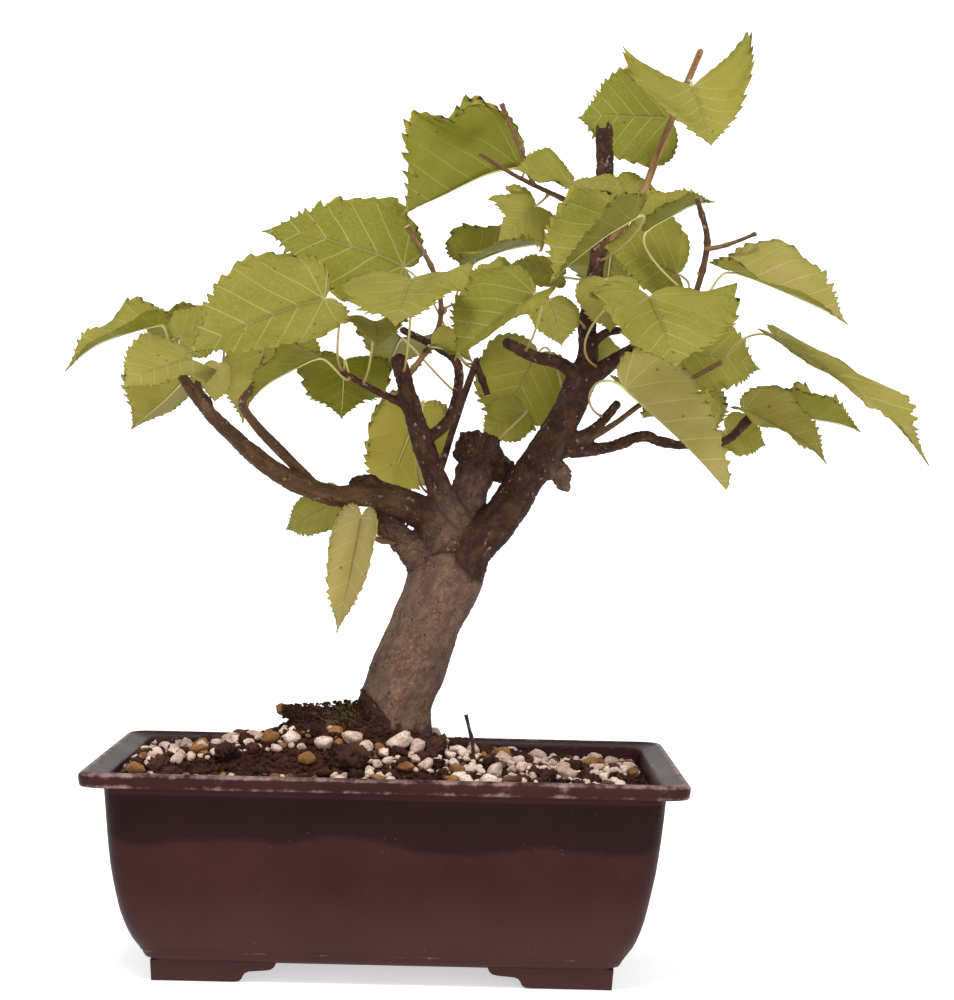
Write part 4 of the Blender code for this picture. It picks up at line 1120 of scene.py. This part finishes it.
# Each leaf, in millimetres and degrees: where its stalk leaves the wood, where the stalk meets
# the blade, and the blade's tip; the blade's width; which way its upper side faces, as an
# angle round from the front and an angle up; and how far its two halves are folded up.
# After that come the arch of the midrib, and how far the sides are swept back from the tip.
LEAVES = [
    # left branch
    ((-114, -49, 309), (-121, -49, 328), (-167, -62, 306), 42, (-10, 68), (15, 32), 0.05, 0.15),
    ((-103, -42, 309), (-111, -30, 322), (-85, -20, 336), 34, (0, 35), (0, 0)),
    ((-112, -48, 307), (-102, -68, 309), (-132, -98, 296), 44, (0, 42), (10, 15), 0.06),
    ((-113, -47, 308), (-108, -30, 301), (-137, -18, 275), 62, (160, 10), (85, 0)),
    ((-29, -30, 306), (-36, -78, 341), (-102, -96, 313), 66, (0, 15), (0, 40), 0.05),
    ((-76, -19, 296), (-69, 16, 318), (-83, 14, 280), 44, (-10, 10), (0, 70)),
    ((-98, -42, 300), (-90, -52, 308), (-92, -48, 289), 16, (0, 10), (0, 0)),
    ((-94, -44, 290), (-104, 28, 332), (-138, 70, 318), 44, (180, 60), (10, 10)),
    # middle branches
    ((-22, -27, 302), (-41, -42, 313), (-76, -40, 291), 48, (0, 65), (20, 50)),
    ((41, 38, 310), (0, 34, 366), (-76, 30, 385), 66, (0, 45), (20, -10), 0.05),
    ((2, -22, 305), (6, -60, 353), (0, -100, 327), 68, (0, 45), (0, 18), 0.05, 0.05),
    ((-17, -26, 300), (-12, -40, 333), (-9, -68, 320), 34, (0, 60), (12, 12)),
    ((-24, -28, 303), (-28, -16, 313), (-30, 8, 284), 50, (180, 40), (5, 5)),
    ((18, -12, 322), (18, -32, 321), (39, -30, 314), 28, (0, 45), (40, 10)),
    ((37, 40, 312), (38, 42, 370), (84, 50, 384), 52, (0, 60), (40, 15), 0.04, 0.15),
    ((33, 30, 296), (0, 36, 328), (-8, 86, 314), 48, (180, 50), (10, 10)),
    ((14, 8, 243), (11, 50, 292), (-10, 60, 236), 46, (180, 10), (0, 0)),
    # under the left branch
    ((-9, -12, 222), (-17, -30, 232), (-27, -46, 174), 32, (10, 10), (25, 60)),
    ((-11, -8, 228), (-31, 10, 240), (-60, 20, 224), 26, (0, 20), (0, 0)),
    # top, left of the leader
    ((61, -12, 409), (61, 6, 418), (-2, -6, 391), 90, (180, 60), (50, 50), 0.03, -0.1),
    ((86, 0, 400), (86, -22, 406), (57, -32, 413), 42, (0, 52), (10, 20)),
    ((78, -3, 402), (69, -8, 396), (50, -14, 377), 40, (0, 10), (0, 0)),
    # top shoot
    ((150, 32, 469), (151, 8, 463), (160, -10, 430), 72, (0, 45), (10, 10), 0.04, 0.7),
    ((142, 32, 459), (141, 46, 450), (92, 42, 450), 60, (0, 20), (0, 0)),
    ((106, 8, 400), (112, 0, 409), (84, -6, 407), 18, (0, 50), (0, 0)),
    ((106, 16, 397), (116, 34, 412), (136, 38, 411), 20, (0, 40), (0, 0)),
    # middle of the crown, in front of the leader
    ((104, 10, 369), (117, -60, 386), (75, -84, 352), 60, (-10, 25), (0, 80)),
    ((103, 0, 312), (124, -92, 344), (136, -122, 310), 82, (-5, 45), (35, 0)),
    ((66, -12, 319), (69, -50, 348), (29, -74, 314), 58, (-10, 20), (0, 55)),
    ((98, -4, 334), (78, -6, 347), (85, -14, 324), 28, (20, 0), (0, 0)),
    ((52, 20, 349), (62, -6, 360), (34, -16, 353), 28, (0, 50), (0, 0)),
    ((104, 12, 360), (84, 16, 362), (54, 10, 366), 20, (0, 30), (0, 0)),
    ((103, 8, 350), (107, -12, 358), (109, -24, 331), 34, (0, 30), (0, 0)),
    ((101, 0, 289), (114, -66, 301), (165, -84, 253), 58, (0, 15), (-110, 0)),
    # behind the leader
    ((107, 4, 330), (103, 28, 322), (118, 36, 326), 24, (0, 20), (0, 0)),
    ((94, 20, 270), (74, 60, 322), (52, 66, 276), 56, (0, 10), (0, 0)),
    ((60, 25, 270), (66, 46, 290), (44, 42, 276), 26, (0, 20), (0, 0)),
    ((104, 14, 380), (112, 48, 378), (112, 96, 350), 50, (180, 50), (12, 12)),
    # right of the leader
    ((150, -24, 348), (128, -16, 385), (162, -12, 402), 42, (0, 60), (55, 20), 0.04, 0.1),
    ((151, -22, 350), (146, 20, 365), (106, 5, 378), 56, (0, 15), (0, 30)),
    ((150, -24, 345), (168, -40, 362), (226, -66, 336), 54, (0, 55), (40, 20), 0.04, 0.02),
    ((143, 22, 303), (148, 42, 325), (197, 52, 318), 44, (0, 25), (0, 0)),
    ((172, 30, 319), (197, -5, 331), (276, -35, 269), 42, (20, 76), (15, 10), 0.04, -0.15),
    ((147, 24, 304), (150, 56, 296), (172, 100, 278), 48, (180, 50), (10, 10)),
    # lateral
    ((190, 30, 290), (208, 38, 291), (248, 32, 283), 44, (0, 70), (60, 30), 0.04, 0.1),
    ((188, 30, 292), (182, 8, 293), (226, -5, 268), 40, (0, 55), (30, 20)),
    ((176, 26, 276), (176, 34, 283), (198, 40, 275), 24, (0, 20), (0, 0)),
    ((131, 18, 296), (157, 14, 288), (163, 10, 304), 24, (0, 10), (0, 0)),
]
# Half outlines from the tip back to the notch at the stalk, as (leaf lengths along the midrib,
# half widths across it): the usual heart, a blade with side lobes, and one with a blunt tip.
HEART = [(1.0, 0.0), (0.95, 0.06), (0.885, 0.24), (0.79, 0.55), (0.66, 0.79), (0.49, 0.94),
         (0.30, 1.01), (0.12, 0.98), (-0.02, 0.83), (-0.095, 0.58), (-0.11, 0.32), (-0.07, 0.12),
         (-0.01, 0.02)]
LOBED = [(1.0, 0.0), (0.90, 0.12), (0.74, 0.30), (0.58, 0.40), (0.56, 0.72), (0.52, 1.0),
         (0.38, 0.84), (0.24, 0.72), (0.10, 0.96), (-0.06, 0.84), (-0.15, 0.50), (-0.10, 0.14),
         (-0.01, 0.02)]
BLUNT = [(1.0, 0.0), (0.985, 0.14), (0.93, 0.30), (0.80, 0.52), (0.63, 0.72), (0.46, 0.88),
         (0.27, 0.99), (0.08, 1.0), (-0.08, 0.88), (-0.17, 0.62), (-0.185, 0.34), (-0.12, 0.12),
         (-0.01, 0.02)]
OUTLINES = {22: LOBED, 15: BLUNT, 34: BLUNT}
# how yellow and pale each leaf is, 0 to 1; the others vary round 0.4
TONES = {3: 0.55, 4: 0.95, 5: 0.25, 6: 0.55, 7: 0.7, 9: 0.35, 10: 0.0, 11: 0.40, 13: 0.15,
         15: 0.35, 17: 0.95, 18: 0.95, 19: 0.6, 20: 0.30, 21: 0.25, 23: 0.35, 24: 0.0, 27: 0.20,
         28: 0.25, 29: 0.10, 34: 0.75, 36: 0.35, 39: 0.25, 40: 0.15, 41: 0.70, 43: 0.55, 45: 0.5,
         46: 0.75}
TEETH = 19                 # on each side of a blade
BLADE_THICKNESS = 0.00035


def facing(turn, lift):
    turn, lift = math.radians(turn), math.radians(lift)
    return Vector((math.sin(turn) * math.cos(lift), -math.cos(turn) * math.cos(lift),
                   math.sin(lift)))


def toothed_margin(outline, dice):
    """One side's outline, as rows of (along, across) and how far a tooth moves that point."""
    smooth = []
    rows = np.array(outline)
    ends = np.vstack([rows[0], rows, rows[-1]])
    for a, b, c, d in zip(ends, ends[1:], ends[2:], ends[3:]):
        smooth += [between(a, b, c, d, t) for t in np.arange(12) / 12]
    smooth.append(rows[-1])
    smooth = np.array(smooth)
    walked = walk(smooth)
    reach = walked[-1]
    # uneven teeth, each a steep short side towards the leaf's tip and a long side behind
    widths = np.array([dice.uniform(0.65, 1.35) for _ in range(TEETH)])
    widths /= widths.sum()
    start, margin = 0.0, []
    for width in widths:
        size = width * TEETH * dice.uniform(0.75, 1.2)
        for phase, rise in ((0.0, 0.0), (0.13, 0.9), (0.22, 1.0), (0.40, 0.52), (0.55, 0.60),
                            (0.78, 0.16)):
            at = (start + width * phase) * reach
            x = np.interp(at, walked, smooth[:, 0])
            y = np.interp(at, walked, smooth[:, 1])
            ahead = np.array([np.interp(at + 0.02, walked, smooth[:, 0])
                              - np.interp(at - 0.02, walked, smooth[:, 0]),
                              np.interp(at + 0.02, walked, smooth[:, 1])
                              - np.interp(at - 0.02, walked, smooth[:, 1])])
            ahead /= max(np.linalg.norm(ahead), 1e-6)
            out = np.array([-ahead[1], ahead[0]])
            fade = min(1.0, at / 0.10, (reach - at) / 0.30)
            tall = 0.100 * size * rise * fade
            shift = out * tall * np.array([0.75, 1.0]) - ahead * tall * 0.8
            margin.append((x, y, shift[0], max(shift[1], -y)))
        start += width
    margin.append((*smooth[-1], 0.0, 0.0))
    margin[0] = (1.0, 0.0, 0.0, 0.0)
    return np.array(margin)


def vein_distance(u, v):
    """How far a point is from the nearest side vein, all in leaf lengths."""
    t = v - 0.8 * u
    if t > 0:
        f = t / 0.185
        return abs(f - round(f)) * 0.144
    f = (0.6747 - math.atan2(v, max(u, 1e-6))) / 0.60
    return abs(f - round(f)) * 0.60 * math.hypot(u, v)


def vein_group():
    """Masks of a lime leaf's veins from a point (along, across, -) in leaf lengths."""
    group = bpy.data.node_groups.new("lime_leaf_veins", "ShaderNodeTree")
    group.interface.new_socket("Blade", in_out="INPUT", socket_type="NodeSocketVector")
    group.interface.new_socket("Veins", in_out="OUTPUT", socket_type="NodeSocketFloat")
    group.interface.new_socket("Net", in_out="OUTPUT", socket_type="NodeSocketFloat")
    given = add_node(group, "NodeGroupInput")
    result = add_node(group, "NodeGroupOutput")
    blade = given.outputs["Blade"]

    def line(distance, width):
        """1 within the width, falling softly to 0 at twice the width."""
        return ranged(calc("DIVIDE", distance, width), 0.6, 1.8, 1.0, 0.0)

    parts = add_node(group, "ShaderNodeSeparateXYZ", in_Vector=blade)
    v = parts.outputs["X"]
    u = calc("ABSOLUTE", parts.outputs["Y"])
    t = calc("SUBTRACT", v, calc("MULTIPLY", u, 0.8), label="where a side vein starts")
    feather = calc("DIVIDE", t, 0.185)
    feather = calc("MULTIPLY", calc("ABSOLUTE", calc("SUBTRACT", feather,
                                                     calc("ROUND", feather))), 0.144)
    fan = calc("DIVIDE", calc("SUBTRACT", 0.6747, calc("ARCTAN2", v, u)), 0.60)
    fan = calc("ABSOLUTE", calc("SUBTRACT", fan, calc("ROUND", fan)))
    reach = calc("SQRT", calc("ADD", calc("MULTIPLY", u, u), calc("MULTIPLY", v, v)))
    fan = calc("MULTIPLY", calc("MULTIPLY", fan, 0.60), reach)
    pick = add_node(group, "ShaderNodeMix", "feather or fan", data_type="FLOAT")
    for index, value in ((0, calc("GREATER_THAN", t, 0.0)), (2, fan), (3, feather)):
        feed(value, pick.inputs[index])
    thin = calc("SUBTRACT", 0.0042, calc("MULTIPLY", u, 0.007))
    side = line(pick.outputs[0], calc("MAXIMUM", thin, 0.0012))
    middle = line(u, calc("SUBTRACT", 0.0062, calc("MULTIPLY", v, 0.0046)))
    feed(calc("MAXIMUM", side, middle), result.inputs["Veins"])
    wobble = add_node(group, "ShaderNodeTexNoise", in_Vector=blade, in_Scale=9.0, in_Detail=2.0)
    moved = add_node(group, "ShaderNodeVectorMath", operation="MULTIPLY_ADD")
    for value, socket in zip((wobble.outputs["Color"], (0.03, 0.03, 0.0), blade), moved.inputs):
        feed(value, socket)
    mesh = add_node(group, "ShaderNodeTexVoronoi", "small veins", in_Vector=moved.outputs[0],
                    in_Scale=24.0, feature="DISTANCE_TO_EDGE")
    feed(line(mesh.outputs["Distance"], 0.045), result.inputs["Net"])
    return group


def leaf_material(name, veins, under):
    mat = new_material(name)
    tree = mat.node_tree
    edge = attribute_of(mat, "edge")
    vein = add_node(tree, "ShaderNodeGroup", node_tree=veins)
    feed(attribute_of(mat, "blade", "Vector"), vein.inputs["Blade"])
    where = local_point(mat)
    # a soft drift of tone over each blade
    drift = calc("MULTIPLY", calc("SUBTRACT", noise_of(where, 45.0, 4.0), 0.5), 0.9)
    tone = calc("ADD", attribute_of(mat, "tone"), drift)
    if under:
        stops = ((0.0, (0.265, 0.255, 0.032)), (0.5, (0.350, 0.310, 0.062)),
                 (1.0, (0.450, 0.370, 0.150)))
    else:
        stops = ((0.0, (0.165, 0.170, 0.012)), (0.5, (0.255, 0.250, 0.030)),
                 (1.0, (0.370, 0.325, 0.072)))
    colour = ramp("green to yellow", tone, *stops)
    colour = blend("small veins", calc("MULTIPLY", vein.outputs["Net"], 0.20 if under else 0.07),
                   colour, (0.470, 0.440, 0.190) if under else (0.400, 0.400, 0.110))
    colour = blend("veins", calc("MULTIPLY", vein.outputs["Veins"], 0.55 if under else 0.38),
                   colour, (0.560, 0.510, 0.270) if under else (0.450, 0.440, 0.150))
    rim = calc("MULTIPLY", ranged(edge, 0.90, 1.0),
               ranged(noise_of(where, 60.0), 0.40, 0.62, 0.0, 0.7))
    colour = blend("yellowed margin", rim, colour, (0.430, 0.340, 0.060))
    burnt = calc("MULTIPLY", ranged(edge, 0.93, 1.0),
                 ranged(noise_of(where, 110.0, 3.0), 0.62, 0.70, 0.0, 0.8))
    colour = blend("dry tooth ends", burnt, colour, (0.210, 0.110, 0.035))
    # scattered small brown specks
    cells = add_node(tree, "ShaderNodeTexVoronoi", "specks", in_Vector=where, in_Scale=230.0)
    rare = add_node(tree, "ShaderNodeSeparateColor", in_Color=cells.outputs["Color"])
    speck = calc("MULTIPLY", ranged(cells.outputs["Distance"], 0.26, 0.12),
                 calc("GREATER_THAN", rare.outputs[0], 0.93))
    colour = blend("brown specks", calc("MULTIPLY", speck, 0.7), colour, (0.190, 0.085, 0.025))

    # the veins are sunk in the upper side and stand out from the underside
    swell = calc("SUBTRACT", 1.0, vein.outputs["Veins"])
    swell = calc("SUBTRACT", swell, calc("MULTIPLY", vein.outputs["Net"], 0.18))
    swell = calc("ADD", swell, calc("MULTIPLY", noise_of(where, 900.0, 3.0), 0.35))
    skin = add_node(tree, "ShaderNodeBsdfPrincipled", in_Base_Color=colour,
                    in_Roughness=0.62 if under else 0.5,
                    in_Specular_IOR_Level=0.10 if under else 0.20,
                    in_Normal=bumped(swell, 0.25, 0.00035, under))
    through = add_node(tree, "ShaderNodeMix", "light through the blade", data_type="RGBA",
                       blend_type="MULTIPLY")
    for index, value in ((0, 1.0), (6, colour), (7, (1.40, 1.42, 0.85))):
        feed(value, through.inputs[index])
    glow = add_node(tree, "ShaderNodeBsdfTranslucent", in_Color=through.outputs[2])
    mix = add_node(tree, "ShaderNodeMixShader")
    for value, socket in zip((0.48, skin.outputs[0], glow.outputs[0]), mix.inputs):
        feed(value, socket)
    add_node(tree, "ShaderNodeOutputMaterial", in_Surface=mix.outputs[0])
    return mat


def stalk_material():
    mat = new_material("leaf_stalk")
    colour = ramp("foot to midrib", attribute_of(mat, "along"), (0.0, (0.230, 0.110, 0.040)),
                  (0.22, (0.330, 0.250, 0.070)), (0.9, (0.450, 0.420, 0.150)))
    principled(mat, in_Base_Color=colour, in_Roughness=0.45, in_Specular_IOR_Level=0.4)
    return mat


def build_leaf(number, row, bark, materials):
    foot, base, tip, width, face, fold = row[:6]
    arch = row[6] if len(row) > 6 else 0.04
    swept = row[7] if len(row) > 7 else 0.0
    foot, base, tip = (Vector(p) * 0.001 for p in (foot, base, tip))
    dice = random.Random(number * 17)
    along = tip - base
    length = along.length
    along.normalize()
    up = facing(*face)
    up = (up - along * up.dot(along)).normalized()
    across = up.cross(along)
    half = width * 0.0005
    slim = half / length
    wave = [(dice.uniform(1.2, 2.2), dice.uniform(0, 6.28), dice.uniform(0.07, 0.14))
            for _ in range(2)]
    droop = dice.uniform(0.03, 0.09)
    twist = dice.uniform(-0.10, 0.10)
    seed = Vector((number * 3.1, number * 1.7, 0.0))

    def on_blade(x, y):
        side = 1 if y > 0 else 0
        turn = math.radians(fold[side])
        out = abs(y)
        # the halves rise slowly next to the midrib and faster further out
        rise = out * math.sin(turn) * (0.70 + 0.30 * min(1.0, out / 0.35))
        spread = out * math.cos(turn)
        rate, start, high = wave[side]
        ripple = high * math.sin(rate * 2 * math.pi * x + start) * out ** 2.5
        lift = half * (rise + ripple + twist * y * x)
        lift += half * 0.24 * noise.noise(Vector((x * 2.2, y * 1.5, 0.0)) + seed) * (0.3 + out)
        lift += length * (arch * 4 * x * (1 - x) - droop * max(0.0, x - 0.55) ** 2 * 4)
        dent = vein_distance(out * slim, x)
        lift += length * 0.06 * min(dent, 0.035) * min(1.0, out * 6)
        bent = x - swept * y * y
        return (base + along * (bent * length)
                + across * (spread * half * (1 if y > 0 else -1)) + up * lift)

    verts, faces, blades, edges = [], [], [], []
    outline = OUTLINES.get(number, HEART)
    shares = [0.0, 0.10, 0.22, 0.35, 0.48, 0.61, 0.73, 0.84, 0.93, 1.0]
    for side in (1, -1):
        margin = toothed_margin(outline, dice)
        first = len(verts)
        for x, y, shift_x, shift_y in margin:
            root = min(1.0, max(0.0, x - 0.8 * y * slim)) if y > 0 else min(1.0, x)
            for share in shares:
                # teeth bend only the outermost part of the blade
                bite = max(0.0, (share - 0.84) / 0.16) ** 1.3
                px = root + (x - root) * share + shift_x * bite
                py = y * share + shift_y * bite
                verts.append(on_blade(px, side * py))
                blades.append((px, side * py * slim, 0.0))
                edges.append(share)
        count = len(shares)
        for k in range(len(margin) - 1):
            for m in range(count - 1):
                a = first + k * count + m
                quad = (a, a + 1, a + count + 1, a + count)
                faces.append(quad if side < 0 else quad[::-1])
    tone = TONES.get(number, 0.4) + dice.uniform(-0.05, 0.05)
    leaf = smooth_object("leaf_%02d_blade" % number, verts, faces, *materials[:2])
    mesh = leaf.data
    layer = mesh.attributes.new("blade", "FLOAT_VECTOR", "POINT")
    layer.data.foreach_set("vector", np.array(blades, dtype=np.float32).ravel())
    point_attribute(mesh, "edge", edges)
    point_attribute(mesh, "tone", [tone] * len(verts))
    bm = bmesh.new()
    bm.from_mesh(mesh)
    bmesh.ops.remove_doubles(bm, verts=bm.verts, dist=0.00002)
    bmesh.ops.dissolve_degenerate(bm, edges=bm.edges, dist=0.00001)
    bm.to_mesh(mesh)
    bm.free()
    body = leaf.modifiers.new("Thickness", "SOLIDIFY")
    body.thickness = BLADE_THICKNESS
    body.offset = -1.0
    body.material_offset = 1
    place(leaf, "leaf", "leaf_%02d" % number)

    # the stalk, from inside the bark to the blade and on under it as the midrib
    towards = (base - foot).normalized()
    root, outward, _, _ = bark.find_nearest(foot + towards * 0.004)
    start = root - outward * 0.0006
    reach = (base - start).length
    bend_out = start + outward * 0.3 * reach
    bend_in = base - along * 0.3 * reach - up * 0.05 * reach
    path = []
    for t in np.linspace(0, 1, 26):
        spot = (start * (1 - t) ** 3 + bend_out * 3 * t * (1 - t) ** 2
                + bend_in * 3 * t ** 2 * (1 - t) + base * t ** 3)
        girth = 0.00062 + 0.00055 * math.exp(-(t * reach / 0.0022) ** 2)
        path.append((*(spot - up * 0.0006 * t), girth))
    stalk_points = len(path)
    for x in np.linspace(0.05, 0.93, 22):
        path.append((*(on_blade(x, 0.0) - up * 0.00042), 0.00060 - 0.00050 * x ** 0.7))
    path = np.array(path)
    points, sides = sweep(path, 8, False)
    stalk = smooth_object("leaf_%02d_stalk" % number, points.tolist(), sides, materials[2])
    share = np.minimum(1.0, np.arange(len(path)) / stalk_points)
    point_attribute(stalk.data, "along", np.repeat(share, 8))
    place(stalk, "leaf", "leaf_%02d" % number)


def bark_surface(pieces):
    """One tree of all the wood's faces, to find where a stalk starts."""
    verts, faces = [], []
    for piece in pieces:
        base = len(verts)
        verts += [v.co.copy() for v in piece.data.vertices]
        faces += [tuple(base + k for k in face.vertices) for face in piece.data.polygons]
    return BVHTree.FromPolygons(verts, faces)


veins = vein_group()
leaf_materials = (leaf_material("leaf_upper", veins, False),
                  leaf_material("leaf_under", veins, True), stalk_material())
bark = bark_surface([wood, twigs])
for number, row in enumerate(LEAVES, start=1):
    build_leaf(number, row, bark, leaf_materials)
